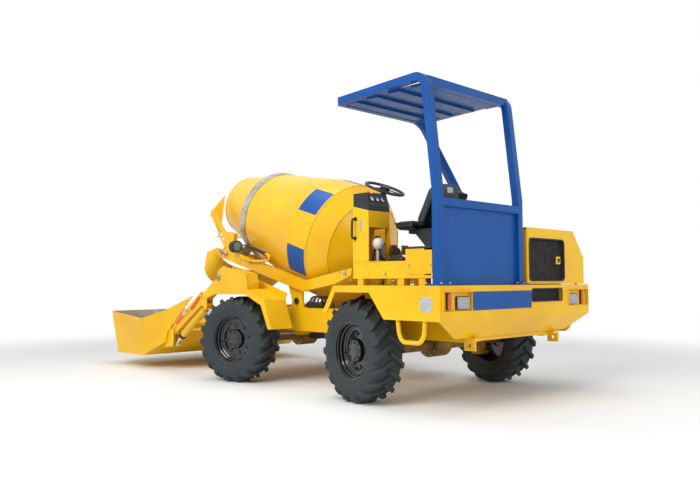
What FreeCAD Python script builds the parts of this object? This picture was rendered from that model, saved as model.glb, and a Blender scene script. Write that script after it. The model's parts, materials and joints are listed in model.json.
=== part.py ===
import FreeCAD, Part
import math
import os
import re
import Sketcher
from FreeCAD import Placement, Rotation, Vector

# Self-loading concrete mixer. Lengths in millimetres, angles in degrees.
# Pieces are drawn from a point on the ground midway between the axles: X forward
# (towards the loading bucket), Y to the machine's left, Z up. The finished pieces are
# moved back by origin_forward, which puts the origin under the middle of the machine.
SIZES = {
    "origin_forward": 647,
    # running gear
    "wheelbase": 1653, "axle_z": 380, "kingpin_y": 640, "wheel_offset": 173.5,
    "front_steer": 15.3, "rear_steer": -11.1,
    "tyre_r": 380, "tyre_half": 132, "belly_r": 300, "shoulder_half": 122, "shoulder_r": 331,
    "crown_half": 94, "crown_r": 353, "tyre_sides": 22, "lug_count": 19, "lug_long": 138, "lug_wide": 27,
    "lug_low": 342, "lug_top": 375.5, "lug_mid_y": 66, "lug_lean": 40, "bead_r": 195.3,
    "bead_half": 100, "flange_r": 212, "flange_t": 8, "rim_r": 195, "rim_t": 6,
    "dish_y": 25, "dish_t": 10, "hub_r": 80, "hub_in": 35, "hub_out": 70, "cap_r": 55,
    "spindle_r": 40, "spindle_reach": 40, "running_gap": 0.05,
    "boss_r": 40, "boss_half": 90, "kingpin_r": 20, "kingpin_in": 30, "yoke_gap": 5,
    "yoke_t": 30, "yoke_half": 45, "yoke_y": 556, "beam_r": 52, "diff_r": 105, "diff_half": 90,
    "saddle_half": 75,
    # chassis
    "rail_rear": 1560, "rail_front": 1085, "rail_y": 500, "rail_w": 60, "rail_bottom": 455,
    "rail_top": 660, "web_t": 12, "member_w": 80, "member_inset": 30, "member_mid_x": 340, "nose_t": 20,
    "ear_y": 480, "ear_t": 18, "ear_half": 60, "ear_top": 775, "pivot_x": 341, "pivot_z": 719,
    "pivot_r": 19, "pivot_in": 432, "tow_x": 1585, "tow_y": 540, "tow_t": 20, "tow_drop": 90,
    "tow_half": 45, "tow_r": 15, "tow_arm_t": 24,
    # rear body
    "body_half": 980, "sheet_t": 10, "rear_x": 1670, "deck_z": 861, "deck_t": 8, "fold_z": 626,
    "deck_front": 655, "arch_top": 811, "arch_front": 674, "arch_rear": 1026, "arch_foot": 1170,
    "leg_x": 585, "leg_tip": 535, "leg_z": 660, "liner_y": 505, "liner_back": 85,
    "beam_t": 30, "skirt_x": 1587, "skirt_z": 498, "skirt_half": 720, "lamp_deep": 18,
    "lamp_low": 692, "lamp_high": 820, "lamp_in": 650, "lamp_out": 955, "mesh_in": 115,
    "mesh_out": 550, "mesh_low": 737, "mesh_high": 829, "plate_in": 600, "plate_out": 100,
    "lamp_proud": 6, "square_half": 62, "marker_w": 40,
    # engine bay and hood
    "bay_left": 110, "bay_front": 800, "hood_top": 1297, "hood_rear": 1632, "hood_t": 6,
    "hood_top_right": 810, "hood_side_z": 1080, "hood_gap": 6, "hood_foot": 867,
    "hinge_rear": 1500, "hinge_front": 960, "hinge_r": 9, "hinge_pin_r": 5, "hinge_length": 50,
    "hinge_side": 2, "hinge_up": 4, "hinge_drop": 14, "hinge_lug": 12, "lug_side": 5,
    "grille_in": 145, "grille_out": 660, "grille_low": 892, "grille_high": 1216,
    "engine_x": 1470, "engine_length": 620, "engine_in": 125, "engine_out": 490,
    "engine_top": 1220, "engine_gap": 12, "radiator_x": 1600, "radiator_t": 55,
    # roll frame and canopy
    "tube": 56, "post_x": 1612, "post_left": 922, "post_right": -22, "knee_z": 1490,
    "roof_rear_x": 1522, "roof_rear_z": 2284, "roof_front_x": 680, "roof_front_z": 2254,
    "bend_r": 95, "brace_foot_x": 1470, "brace_lift": 22, "mid_low": 1390, "mid_high": 1445,
    "panel_t": 5, "panel_low": 861.3, "foot_half": 62, "foot_t": 12, "canopy_t": 4,
    "rib_deep": 17, "rib_w": 100, "cross_drop": 28,
    # operator's place
    "step_y": 950, "step_front": 840, "step_rear": 1583.5, "step_low": 910, "step_top": 1030,
    "box_front": 1350, "box_top": 1110, "plate_t": 6, "floor_in": 260, "leg_w": 60,
    "console_rear": 1000, "console_top": 1440, "console_back_top": 1400, "foot_top": 1280,
    "console_in": 730, "gauge_rear": 1000, "gauge_front": 846, "gauge_z": 1440,
    "gauge_high": 1532, "mat_t": 10, "seat_y": 600, "seat_half": 200, "seat_front": 1095,
    "seat_rear": 1280, "seat_low": 1262, "seat_high": 1326, "stand_foot": 1360, "stand_head": 1240, "base_front": 1180,
    "base_rear": 1430, "base_half": 120, "tray_t": 30, "back_t": 85, "back_length": 300, "seat_gap": 0.3,
    "back_lean": 28, "wheel_x": 885, "wheel_y": 655, "wheel_z": 1592, "wheel_lean": 24,
    "wheel_r": 147, "wheel_wire": 11, "column_r": 22, "column_length": 190, "handwheel_hub": 38,
    "reservoir_x": 1000, "reservoir_y": 855, "reservoir_z": 1165, "reservoir_r": 45,
    # steps
    "hoop_front": 1280, "hoop_rear": 1522, "hoop_low": 462, "hoop_r": 16, "hoop_bend": 55,
    # front wheel arches with the boom towers
    "tower_out": 900, "tower_t": 14, "tower_in": 768, "arch_z": 780, "arch_t": 6,
    "fender_in": 667, "fender_front": 1060, "fender_nose": 1130, "mud_x": 573, "mud_mid_x": 347,
    "mud_mid_z": 690, "mud_low_x": 248, "mud_low_z": 490, "mud_lip": 48,
    "tower_top_x": 920, "tower_top_z": 1036, "tower_rear_x": 567, "tower_rear_z": 963,
    "tower_notch_x": 545, "tower_notch_z": 880, "tower_front_x": 1038, "tower_nose_x": 1262,
    "tower_nose_z": 778, "tower_under_x": 1190, "tower_under_z": 738, "tower_join_z": 830,
    "guard_t": 8, "web_rear_x": 272, "web_rear_z": 793, "web_top_x": 762, "web_top_z": 929,
    "web_nose_x": 827, "web_nose_z": 895,
    # loader arms
    "arm_pivot_x": 985, "arm_pivot_z": 932, "arm_in": 800, "arm_w": 66, "arm_half": 44,
    "arm_r": 50, "arm_pin_r": 20, "bucket_pin_x": 1845, "bucket_pin_z": 400, "tip_r": 38,
    "bucket_pin_r": 18, "cross_x": 1763, "cross_z": 453, "cross_r": 35,
    "lever_r": 100, "lever_back": 33, "lever_t": 18, "lever_eye": 24,
    "lift_base_x": 612, "lift_base_z": 858, "lift_r": 30, "lift_rod_r": 15, "lift_eye_r": 26,
    "lift_barrel": 225, "fork_t": 12, "fork_gap": 6, "cylinder_neck": 36, "rod_play": 12,
    "tilt_base_x": 1260, "tilt_base_z": 665, "tilt_eye_x": 1846, "tilt_eye_z": 274,
    "tilt_r": 35, "tilt_rod_r": 19, "tilt_barrel": 560, "tilt_travel": 105, "tilt_eye_w": 40, "tilt_pin_r": 14,
    "lug_t": 12, "lug_r": 30, "prop_w": 40, "prop_t": 8,
    # bucket
    "bucket_half": 980, "bucket_t": 8, "lip_x": 2970, "lip_z": 572, "heel_x": 2810,
    "floor_z": 135, "floor_x": 2260, "slope_x": 1930, "slope_z": 290, "edge_x": 1905,
    "edge_z": 388, "wing_x": 1547, "wing_z": 753, "shoulder_x": 1930, "shoulder_z": 610,
    "rim_x": 2300, "rim_z": 515, "wing_fold_x": 2280, "wing_taper": 0.2,
    # drum
    "drum_x": 800, "drum_z": 1430, "drum_lean": 17, "drum_wall": 5, "mouth_s": 980,
    "mouth_r": 310, "ring_s": 400, "ring_w": 80, "ring_r": 462, "ring_seat_r": 449,
    "belt_front_s": -420, "belt_rear_s": -680, "belt_r": 560, "cone_s": -840, "cone_r": 440,
    "dish_s": -960, "dish_r": 230, "end_s": -985, "shaft_r": 45, "shaft_s": -1040,
    # drum frame
    "vee_in": 462, "vee_t": 54, "vee_tip_x": 1570, "vee_tip_low": 1150, "vee_nose_x": 1500,
    "vee_nose_z": 1230, "vee_low_x": 245, "vee_low_z": 803, "vee_high_x": 215,
    "vee_high_z": 902, "vee_end_x": 380, "vee_end_z": 1004, "vee_heel_x": 180,
    "vee_heel_z": 872, "hanger_front": 490, "hanger_rear": 290, "hanger_low": 672,
    "hanger_t": 16, "front_tie_x": 1490, "front_tie_z": 1150, "front_tie_r": 30, "tie_r": 38,
    "rear_tie_x": 300, "rear_tie_z": 930, "gear_r": 110, "gear_s": -1045, "gear_length": 170,
    "motor_r": 62, "motor_length": 130, "roller_r": 55, "roller_w": 70, "roller_turn": 45,
    "roller_gap": 0.3, "roller_ear": 12, "pedestal_t": 30, "pedestal_w": 300,
    "jack_x": 420, "jack_base_z": 470, "jack_eye_x": 345, "jack_eye_z": 885, "jack_r": 32,
    "jack_rod_r": 16, "jack_barrel": 285, "jack_travel": 105, "jack_eye_r": 26, "jack_w": 40, "jack_lug_t": 12,
    "jack_gap": 6,
    # hopper, chute and small pieces at the mouth
    "hopper_t": 5, "lamp_x": 1180, "lamp_y": 560, "lamp_z": 1235, "lamp_r": 56,
    "headlamp_t": 60,
    "tank_x": 330, "tank_length": 490, "tank_deep": 370, "tank_high": 290, "tank_low": 452,
    "valve_x": 20, "valve_length": 190, "valve_high": 52,
}

doc = FreeCAD.newDocument("self_loading_mixer")
sheet = doc.addObject("Spreadsheet::Sheet", "sizes")
for row, (alias, value) in enumerate(SIZES.items(), start=1):
    sheet.set("A%d" % row, alias)
    sheet.set("B%d" % row, str(value))
    sheet.setAlias("B%d" % row, alias)
doc.recompute()

WORD = re.compile(r"[a-z][a-z0-9_]*")
FUNCTIONS = {"sin", "cos", "tan", "sqrt", "atan2", "max", "min"}
NODES = []


def size(alias):
    """The value of one cell of the sheet."""
    return float(sheet.get(alias))


def formula(text):
    """An expression in which each plain word is the alias of a cell."""
    return WORD.sub(lambda m: m.group() if m.group() in FUNCTIONS else "sizes." + m.group(),
                    str(text))


def bind(item, path, text):
    item.setExpression(path, formula(text))


def place(item, x="0", y="0", z="0", axis=None, turn=None):
    """Bind an object's place, and its turn about one axis."""
    if axis is not None:
        item.Placement = Placement(Vector(), Rotation(axis, 1))
        bind(item, "Placement.Rotation.Angle", turn)
    bind(item, "Placement.Base.x", x)
    bind(item, "Placement.Base.y", y)
    bind(item, "Placement.Base.z", z)
    return item


def node(item, label, x="0", y="0", z="0", axis=None, turn=None):
    """A finished piece: its label is its file's name."""
    place(item, "%s - origin_forward" % x, y, z, axis, turn)
    item.Label = label
    NODES.append(item)
    return item


def box(name, x, y, z, length, width, height):
    item = doc.addObject("Part::Box", name)
    for path, text in (("Length", length), ("Width", width), ("Height", height)):
        bind(item, path, text)
    return place(item, x, y, z)


def post(name, x, y, z, radius, length):
    """An upright round bar, from its foot."""
    item = doc.addObject("Part::Cylinder", name)
    bind(item, "Radius", radius)
    bind(item, "Height", length)
    return place(item, x, y, z)


def bar(name, x, y, z, radius, length, lean="0"):
    """A round bar that runs forward and up at an angle."""
    item = post(name, x, y, z, radius, length)
    return place(item, x, y, z, Vector(0, 1, 0), "90 - (%s)" % lean)


def pin(name, x, y, z, radius, length):
    """A round bar across the machine, towards +Y."""
    item = post(name, x, y, z, radius, length)
    return place(item, x, y, z, Vector(1, 0, 0), "-90")


def fuse(name, pieces):
    item = doc.addObject("Part::MultiFuse", name)
    item.Shapes = pieces
    item.Refine = True
    return item


def cut(name, base, tools):
    item = doc.addObject("Part::Cut", name)
    item.Base = base
    item.Tool = tools[0] if len(tools) == 1 else fuse(name + "_tools", tools)
    return item


def mirror(name, source):
    """The same piece on the machine's other side."""
    item = doc.addObject("Part::Mirroring", name)
    item.Source = source
    item.Normal = Vector(0, 1, 0)
    return item


def pair(name, source):
    return fuse(name, [source, mirror(name + "_mirror", source)])


def origin_plane(body, role):
    return [f for f in body.Origin.OriginFeatures if f.Role == role][0]


def outline_sketch(body, name, role, points, offset="0"):
    """A closed outline of straight lines, each corner bound to a pair of formulas."""
    sketch = body.newObject("Sketcher::SketchObject", name)
    sketch.AttachmentSupport = [(origin_plane(body, role), "")]
    sketch.MapMode = "FlatFace"
    bind(sketch, "AttachmentOffset.Base.z", offset)
    values = [(solve(u), solve(v)) for u, v in points]
    count = len(values)
    for i in range(count):
        start = Vector(values[i][0], values[i][1], 0)
        end = Vector(values[(i + 1) % count][0], values[(i + 1) % count][1], 0)
        sketch.addGeometry(Part.LineSegment(start, end), False)
    for i in range(count):
        sketch.addConstraint(Sketcher.Constraint("Coincident", i, 2, (i + 1) % count, 1))
    for i, (u, v) in enumerate(points):
        for kind, text, value in (("DistanceX", u, values[i][0]), ("DistanceY", v, values[i][1])):
            number = sketch.addConstraint(Sketcher.Constraint(kind, -1, 1, i, 1, value))
            bind(sketch, "Constraints[%d]" % number, text)
    return sketch


def solve(text):
    """The present value of a formula, for a sketch's first guess."""
    sheet.set("D1", "=" + str(text))
    sheet.recompute()
    return float(sheet.get("D1"))


def slab(name, points, start, thickness):
    """A plate with an outline in X and Z, from |start| towards +Y."""
    body = doc.addObject("PartDesign::Body", name)
    sketch = outline_sketch(body, name + "_outline", "XZ_Plane", points, "-(%s)" % start)
    pad = body.newObject("PartDesign::Pad", name + "_pad")
    pad.Profile = sketch
    pad.Reversed = True
    bind(pad, "Length", thickness)
    return body


def section(name, points, start, length):
    """A bar with an outline in Y and Z, from start towards +X."""
    body = doc.addObject("PartDesign::Body", name)
    sketch = outline_sketch(body, name + "_outline", "YZ_Plane", points, start)
    pad = body.newObject("PartDesign::Pad", name + "_pad")
    pad.Profile = sketch
    bind(pad, "Length", length)
    return body


def sheet_plate(name, points, start, thickness):
    """A level plate with an outline in X and Y, from its underside up."""
    body = doc.addObject("PartDesign::Body", name)
    sketch = outline_sketch(body, name + "_outline", "XY_Plane", points, start)
    pad = body.newObject("PartDesign::Pad", name + "_pad")
    pad.Profile = sketch
    bind(pad, "Length", thickness)
    return body


def turned(name, points, axis_name):
    """A piece turned about its own X or Y axis, its outline drawn in X and Y."""
    body = doc.addObject("PartDesign::Body", name)
    sketch = outline_sketch(body, name + "_outline", "XY_Plane", points)
    turn = body.newObject("PartDesign::Revolution", name + "_turn")
    turn.Profile = sketch
    turn.ReferenceAxis = (sketch, [axis_name])
    turn.Angle = 360
    return body


def rectangle(u0, v0, u1, v1):
    return [(u0, v0), (u1, v0), (u1, v1), (u0, v1)]


def made(name, shape):
    """A piece whose shape is worked out in this script from the sheet's sizes."""
    item = doc.addObject("Part::Feature", name)
    item.Shape = shape
    return item


def panel(corners, thickness):
    """A flat plate through its corners, thickened along its normal."""
    face = Part.Face(Part.makePolygon(corners + [corners[0]]))
    normal = (corners[1] - corners[0]).cross(corners[2] - corners[0]).normalize()
    return face.extrude(normal * thickness)


def tube_run(points, bend, width):
    """A square tube along straight runs joined by bends."""
    edges = []
    start = points[0]
    for before, corner, after in zip(points, points[1:], points[2:]):
        into = (corner - before).normalize()
        out = (after - corner).normalize()
        half_turn = into.getAngle(out) / 2
        reach = bend * math.tan(half_turn)
        first = corner - into * reach
        last = corner + out * reach
        inward = (out - into).normalize()
        middle = corner + inward * (bend / math.cos(half_turn) - bend)
        edges.append(Part.LineSegment(start, first).toShape())
        edges.append(Part.Arc(first, middle, last).toShape())
        start = last
    edges.append(Part.LineSegment(start, points[-1]).toShape())
    path = Part.Wire(edges)
    along = (points[1] - points[0]).normalize()
    across = Vector(0, 1, 0) if abs(along.y) < 0.9 else Vector(1, 0, 0)
    up = along.cross(across).normalize()
    across = up.cross(along)
    half = width / 2
    corners = [points[0] + across * (i * half) + up * (j * half)
               for i, j in ((-1, -1), (1, -1), (1, 1), (-1, 1))]
    profile = Part.makePolygon(corners + [corners[0]])
    pipe = Part.BRepOffsetAPI.MakePipeShell(path)
    pipe.add(profile)
    pipe.setTransitionMode(1)
    pipe.build()
    pipe.makeSolid()
    return pipe.shape()


# ---------------------------------------------------------------- wheels and axles

ENDS = (("front", "wheelbase / 2", "front_steer"), ("rear", "-wheelbase / 2", "rear_steer"))
SIDES = (("left", 1, "0"), ("right", -1, "180"))


def tyre_shape(way):
    """A many-sided tyre about its own Y axis; way sets which way its tread bars lean."""
    half = [(size("bead_r"), size("bead_half")), (size("flange_r") + 1, size("bead_half")),
            (size("belly_r"), size("tyre_half")), (size("shoulder_r"), size("shoulder_half")),
            (size("crown_r"), size("crown_half"))]
    outline = half + [(r, -y) for r, y in reversed(half)]
    count = int(size("tyre_sides"))
    step = Rotation(Vector(0, 1, 0), 360 / count)
    grow = 1 / math.cos(math.pi / count)
    faces = []
    for (r0, y0), (r1, y1) in zip(outline, outline[1:] + outline[:1]):
        start, end = Vector(r0 * grow, y0, 0), Vector(r1 * grow, y1, 0)
        strip = Part.Face(Part.makePolygon([start, end, step.multVec(end), step.multVec(start), start]))
        for k in range(count):
            flat = strip.copy()
            flat.rotate(Vector(), Vector(0, 1, 0), (k - 0.5) * 360 / count)
            faces.append(flat)
    carcass = Part.makeSolid(Part.makeShell(faces))
    long, wide, low = size("lug_long"), size("lug_wide"), size("lug_low")
    lugs = []
    for side in (1, -1):
        lug = Part.makeBox(size("lug_top") - low, long, wide, Vector(low, -long / 2, -wide / 2))
        lug.rotate(Vector(), Vector(1, 0, 0), side * way * size("lug_lean"))
        lug.translate(Vector(0, side * size("lug_mid_y"), 0))
        for k in range(int(size("lug_count"))):
            piece = lug.copy()
            piece.rotate(Vector(), Vector(0, 1, 0), (k + 0.25 * side) * 360 / size("lug_count"))
            lugs.append(piece)
    return carcass.multiFuse(lugs).removeSplitter()


TYRE = tyre_shape(-1)


def tyre(name):
    return made(name, TYRE.copy())


def rim(name):
    inner = "rim_r - rim_t"
    lip = "bead_half + flange_t"
    bore = "spindle_r + running_gap"
    points = [("0", "hub_out"), ("0", "spindle_reach + 2"), (bore, "spindle_reach + 2"), (bore, "-hub_in"),
              ("hub_r", "-hub_in"), ("hub_r", "dish_y"), (inner, "dish_y"),
              (inner, "-" + lip.replace(" + ", " - ")), ("flange_r", "-bead_half - flange_t"),
              ("flange_r", "-bead_half"), ("rim_r", "-bead_half"), ("rim_r", "bead_half"),
              ("flange_r", "bead_half"), ("flange_r", lip), (inner, lip),
              (inner, "dish_y + dish_t"), ("hub_r", "dish_y + dish_t"), ("cap_r", "hub_out")]
    return turned(name, points, "V_Axis")


def knuckle(name):
    """Upright boss on the kingpins, with the wheel's spindle."""
    boss = post(name + "_boss", "0", "0", "-boss_half", "boss_r", "2 * boss_half")
    spindle = pin(name + "_spindle", "0", "0", "0", "spindle_r", "wheel_offset + spindle_reach")
    bores = [post(name + "_top_bore", "0", "0", "boss_half - kingpin_in - yoke_gap",
                  "kingpin_r + running_gap", "kingpin_in + 2 * yoke_gap"),
             post(name + "_low_bore", "0", "0", "-boss_half - yoke_gap",
                  "kingpin_r + running_gap", "kingpin_in + 2 * yoke_gap")]
    return cut(name, fuse(name + "_solid", [boss, spindle]), bores)


def axle(name, end_x):
    """Beam with its differential, and a yoke with kingpins at each end."""
    gap = "boss_half + yoke_gap"
    lug_length = "kingpin_y + yoke_half - yoke_y"
    parts = [pin(name + "_beam", "0", "-yoke_y - 2", "0", "beam_r", "2 * yoke_y + 4"),
             pin(name + "_diff", "0", "-diff_half", "0", "diff_r", "2 * diff_half")]
    side = [box(name + "_web", "-yoke_half", "yoke_y", "-boss_half - yoke_gap - yoke_t",
                "2 * yoke_half", "yoke_t * 0.8", "2 * (%s + yoke_t)" % gap),
            box(name + "_high", "-yoke_half", "yoke_y", gap, "2 * yoke_half", lug_length, "yoke_t"),
            box(name + "_low", "-yoke_half", "yoke_y", "-(%s) - yoke_t" % gap, "2 * yoke_half",
                lug_length, "yoke_t"),
            post(name + "_top_pin", "0", "kingpin_y", "boss_half - kingpin_in", "kingpin_r",
                 "kingpin_in + yoke_gap + yoke_t + 6"),
            post(name + "_low_pin", "0", "kingpin_y", "-boss_half - yoke_gap - yoke_t - 6", "kingpin_r",
                 "kingpin_in + yoke_gap + yoke_t + 6"),
            box(name + "_saddle", "-saddle_half", "rail_y - rail_w", "0", "2 * saddle_half", "rail_w",
                "rail_bottom - axle_z")]
    for piece in side:
        parts += [piece, mirror(piece.Name + "_other", piece)]
    return node(fuse(name, parts), name, end_x, "0", "axle_z")


for end, end_x, steer in ENDS:
    axle(end + "_axle", end_x)
    for side, sign, flip in SIDES:
        tag = end + "_" + side
        turn = "%s + %s" % (steer, flip)
        out_x = "%s - %d * wheel_offset * sin(%s)" % (end_x, sign, steer)
        out_y = "%d * kingpin_y + %d * wheel_offset * cos(%s)" % (sign, sign, steer)
        node(knuckle("knuckle_" + tag), "knuckle_" + tag, end_x, "%d * kingpin_y" % sign,
             "axle_z", Vector(0, 0, 1), turn)
        node(tyre("tyre_" + tag), "tyre_" + tag, out_x, out_y, "axle_z", Vector(0, 0, 1), turn)
        node(rim("rim_" + tag), "rim_" + tag, out_x, out_y, "axle_z", Vector(0, 0, 1), turn)


# ---------------------------------------------------------------- chassis

def chassis():
    """Two channel rails with cross members, a nose plate, pivot ears and tow eyes."""
    channel = [("rail_y", "rail_bottom"), ("rail_y", "rail_top"), ("rail_y - rail_w", "rail_top"),
               ("rail_y - rail_w", "rail_top - web_t"), ("rail_y - web_t", "rail_top - web_t"),
               ("rail_y - web_t", "rail_bottom + web_t"), ("rail_y - rail_w", "rail_bottom + web_t"),
               ("rail_y - rail_w", "rail_bottom")]
    rail = section("rail", channel, "-rail_rear", "rail_rear + rail_front")
    parts = []
    for name, x in (("rear", "-rail_rear"), ("mid", "-member_mid_x"), ("belly", "280"),
                    ("front", "rail_front - member_w")):
        parts.append(box("member_" + name, x, "-rail_y + web_t", "rail_bottom + web_t",
                         "member_w", "2 * (rail_y - web_t)", "rail_top - rail_bottom - 2 * web_t - member_inset"))
    parts.append(box("nose", "rail_front", "-rail_y", "rail_bottom", "nose_t", "2 * rail_y",
                     "rail_top - rail_bottom"))
    lug = slab("jack_lug", [("-jack_x - jack_eye_r", "jack_base_z - jack_eye_r"),
                            ("-member_mid_x + 4", "jack_base_z - jack_eye_r"),
                            ("-member_mid_x + 4", "jack_base_z + jack_eye_r * 2"),
                            ("-jack_x - jack_eye_r", "jack_base_z + jack_eye_r")],
               "jack_w / 2 + jack_gap", "jack_lug_t")
    parts.append(pin("jack_pin", "-jack_x", "-jack_w / 2 - jack_gap - jack_lug_t", "jack_base_z",
                     "tilt_pin_r", "jack_w + 2 * jack_gap + 2 * jack_lug_t"))
    ear = slab("pivot_ear", [("pivot_x - ear_half * 1.6", "rail_top - 40"), ("pivot_x - ear_half", "ear_top"),
                             ("pivot_x + ear_half", "ear_top"), ("pivot_x + ear_half * 1.6", "rail_top - 40")],
               "ear_y", "ear_t")
    pivot = pin("pivot_pin", "pivot_x", "pivot_in", "pivot_z", "pivot_r", "ear_y + ear_t + 8 - pivot_in")
    tow = cut("tow_eye", box("tow_plate", "-tow_x - tow_half", "tow_y", "skirt_z - tow_drop",
                             "2 * tow_half", "tow_t", "tow_drop - seat_gap"),
              [pin("tow_bore", "-tow_x", "tow_y - 5", "skirt_z - tow_drop + tow_half * 0.8", "tow_r",
                   "tow_t + 10")])
    tow_arm = box("tow_arm", "-tow_x - tow_half", "rail_y - web_t",
                  "skirt_z - tow_arm_t - seat_gap", "2 * tow_half", "tow_y + tow_t - rail_y + web_t", "tow_arm_t")
    parts += [lug, mirror("jack_lug_other", lug)]
    node(fuse("frame_members", parts), "frame_members")
    side = [rail, ear, pivot, tow, tow_arm]
    node(fuse("frame_rail_left", side), "frame_rail_left")
    return node(mirror("frame_rail_right", fuse("rail_solid", side)), "frame_rail_right")


def rear_body():
    """Deck, side plates with the wheel arches, rear beam, skirt and engine bay walls."""
    deck = sheet_plate("deck", rectangle("-rear_x", "-body_half", "-deck_front", "body_half"),
                       "deck_z - deck_t", "deck_t")
    opening = box("engine_opening", "-engine_x - engine_gap", "-engine_out - engine_gap", "deck_z - 50",
                  "engine_length + 2 * engine_gap", "engine_out - engine_in + 2 * engine_gap", "100")
    side = slab("side", [("-rear_x", "deck_z"), ("-rear_x", "fold_z"), ("-arch_foot", "fold_z"),
                         ("-arch_rear", "arch_top"), ("-arch_front", "arch_top"), ("-leg_x", "leg_z"),
                         ("-leg_tip", "leg_z"), ("-deck_front", "deck_z")],
                "body_half - sheet_t", "sheet_t")
    liner = slab("liner", [("-arch_foot - liner_back", "fold_z"), ("-arch_rear - liner_back", "arch_top"),
                           ("-deck_front", "arch_top"), ("-deck_front", "arch_top + 5"),
                           ("-arch_rear - liner_back - 3", "arch_top + 5"),
                           ("-arch_foot - liner_back - 6", "fold_z")],
                 "liner_y", "body_half - liner_y")
    ledge = slab("ledge", rectangle("-arch_foot - liner_back - 6", "fold_z", "-arch_foot", "fold_z + 5"),
                 "body_half - 60", "60")
    front = slab("deck_front_wall", rectangle("-deck_front - 5", "arch_top", "-deck_front", "deck_z - 4"),
                 "liner_y", "body_half - liner_y")
    beam = section("rear_beam", rectangle("-body_half", "fold_z", "body_half", "deck_z"), "-rear_x", "beam_t")
    recesses = [box("recess_left", "-rear_x - 5", "lamp_in", "lamp_low", "lamp_deep + 5",
                    "lamp_out - lamp_in", "lamp_high - lamp_low"),
                box("recess_right", "-rear_x - 5", "-lamp_out", "lamp_low", "lamp_deep + 5",
                    "lamp_out - lamp_in", "lamp_high - lamp_low"),
                box("mesh_window", "-rear_x - 5", "-mesh_out", "mesh_low", "beam_t + 10",
                    "mesh_out - mesh_in", "mesh_high - mesh_low")]
    skirt = slab("skirt", [("-rear_x", "fold_z"), ("-skirt_x", "skirt_z"), ("-skirt_x + 8", "skirt_z + 5"),
                           ("-rear_x + 10", "fold_z + 3")], "-body_half", "2 * body_half")
    trims = []
    for sign, tag in ((1, "left"), (-1, "right")):
        out, low = "%d * (body_half + 5)" % sign, "%d * skirt_half" % sign
        trims.append(section("skirt_trim_" + tag, [(low, "skirt_z - 1"), (out, "fold_z"), (out, "skirt_z - 1")],
                             "-rear_x - 5", "rear_x - skirt_x + 20"))
    skirt = cut("skirt_shape", skirt, trims)
    skirt_floor = sheet_plate("skirt_floor", rectangle("-skirt_x", "-skirt_half", "-rail_rear - seat_gap",
                                                      "skirt_half"), "skirt_z", "5")
    bay_wall = slab("bay_wall", rectangle("-hood_rear", "deck_z - 2", "-bay_front + 2", "hood_top - hinge_drop"),
                    "-bay_left", "hood_t")
    hinges = []
    for tag, x in (("rear", "-hinge_rear"), ("front", "-hinge_front")):
        hinges.append(box("hinge_lug_" + tag, "%s - hinge_lug" % x, "-bay_left - lug_side",
                          "hood_top - hinge_drop - 8", "hinge_lug", "lug_side + hood_t",
                          "hinge_drop + 8 + hinge_up + hinge_r - 2"))
        hinges.append(bar("hinge_pin_" + tag, x, "-bay_left - hinge_side", "hood_top + hinge_up", "hinge_pin_r",
                          "hinge_length"))
    bay_front = section("bay_front_wall", [("-bay_left + hood_t", "deck_z - 2"), ("-bay_left + hood_t", "hood_top"),
                                           ("-hood_top_right", "hood_top"), ("-body_half", "hood_side_z"),
                                           ("-body_half", "deck_z - 2")], "-bay_front", "hood_t")
    sides = []
    for piece in (side, liner, ledge, front):
        sides += [piece, mirror(piece.Name + "_other", piece)]
    shell = fuse("rear_shell", [deck, beam, skirt, skirt_floor, bay_wall, bay_front] + hinges + sides)
    return node(cut("rear_body", shell, [opening] + recesses), "rear_body")


def tail_lamps():
    """A square lamp and a tall marker in each recess."""
    parts = []
    for sign, tag in ((1, "left"), (-1, "right")):
        start = "-rear_x - lamp_proud"
        depth = "lamp_deep + lamp_proud"
        lamp_y = "%d * (lamp_in + square_half + 20) - square_half" % sign
        mark_y = "%d * (lamp_out - marker_w) - marker_w / 2" % sign
        parts.append(box("lamp_" + tag, start, lamp_y, "lamp_low + 12", depth, "2 * square_half", "80"))
        parts.append(box("marker_" + tag, start, mark_y, "lamp_low + 6", depth, "marker_w",
                         "lamp_high - lamp_low - 12"))
    return node(fuse("tail_lamps", parts), "tail_lamps")


def engine():
    block = box("engine_block", "-engine_x", "-engine_out", "rail_top", "engine_length",
                "engine_out - engine_in", "engine_top - rail_top")
    node(block, "engine_block", "-engine_x", "-engine_out", "rail_top")
    core = box("radiator", "-radiator_x", "-grille_out", "deck_z", "radiator_t", "grille_out - grille_in",
               "grille_high - deck_z + 10")
    return node(core, "radiator", "-radiator_x", "-grille_out", "deck_z")


def engine_hood():
    """Lid over the engine bay: top, sloped shoulder, right side and rear plate."""
    outer = [("-bay_left - hood_gap", "hood_top"), ("-hood_top_right", "hood_top"),
             ("-body_half", "hood_side_z"), ("-body_half", "hood_foot")]
    inner = [("-body_half + hood_t", "hood_foot"), ("-body_half + hood_t", "hood_side_z - 2"),
             ("-hood_top_right - 2", "hood_top - hood_t"), ("-bay_left - hood_gap", "hood_top - hood_t")]
    shell = section("hood_shell", outer + inner, "-hood_rear", "hood_rear - bay_front - hood_gap")
    rear = section("hood_rear_plate", outer + [("-bay_left - hood_gap", "hood_foot")], "-hood_rear", "hood_t")
    window = box("hood_window", "-hood_rear - 5", "-grille_out", "grille_low", "hood_t + 10",
                 "grille_out - grille_in", "grille_high - grille_low")
    knuckles, bores = [], []
    for tag, x in (("rear", "-hinge_rear"), ("front", "-hinge_front")):
        knuckles.append(bar("hood_knuckle_" + tag, "%s + 1" % x, "-bay_left - hinge_side", "hood_top + hinge_up",
                            "hinge_r", "hinge_length - 2"))
        bores.append(bar("hood_bore_" + tag, "%s - 1" % x, "-bay_left - hinge_side", "hood_top + hinge_up",
                         "hinge_pin_r + running_gap", "hinge_length + 2"))
    return node(cut("engine_hood", fuse("hood_solid", [shell, rear] + knuckles), [window] + bores), "engine_hood")


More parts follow.
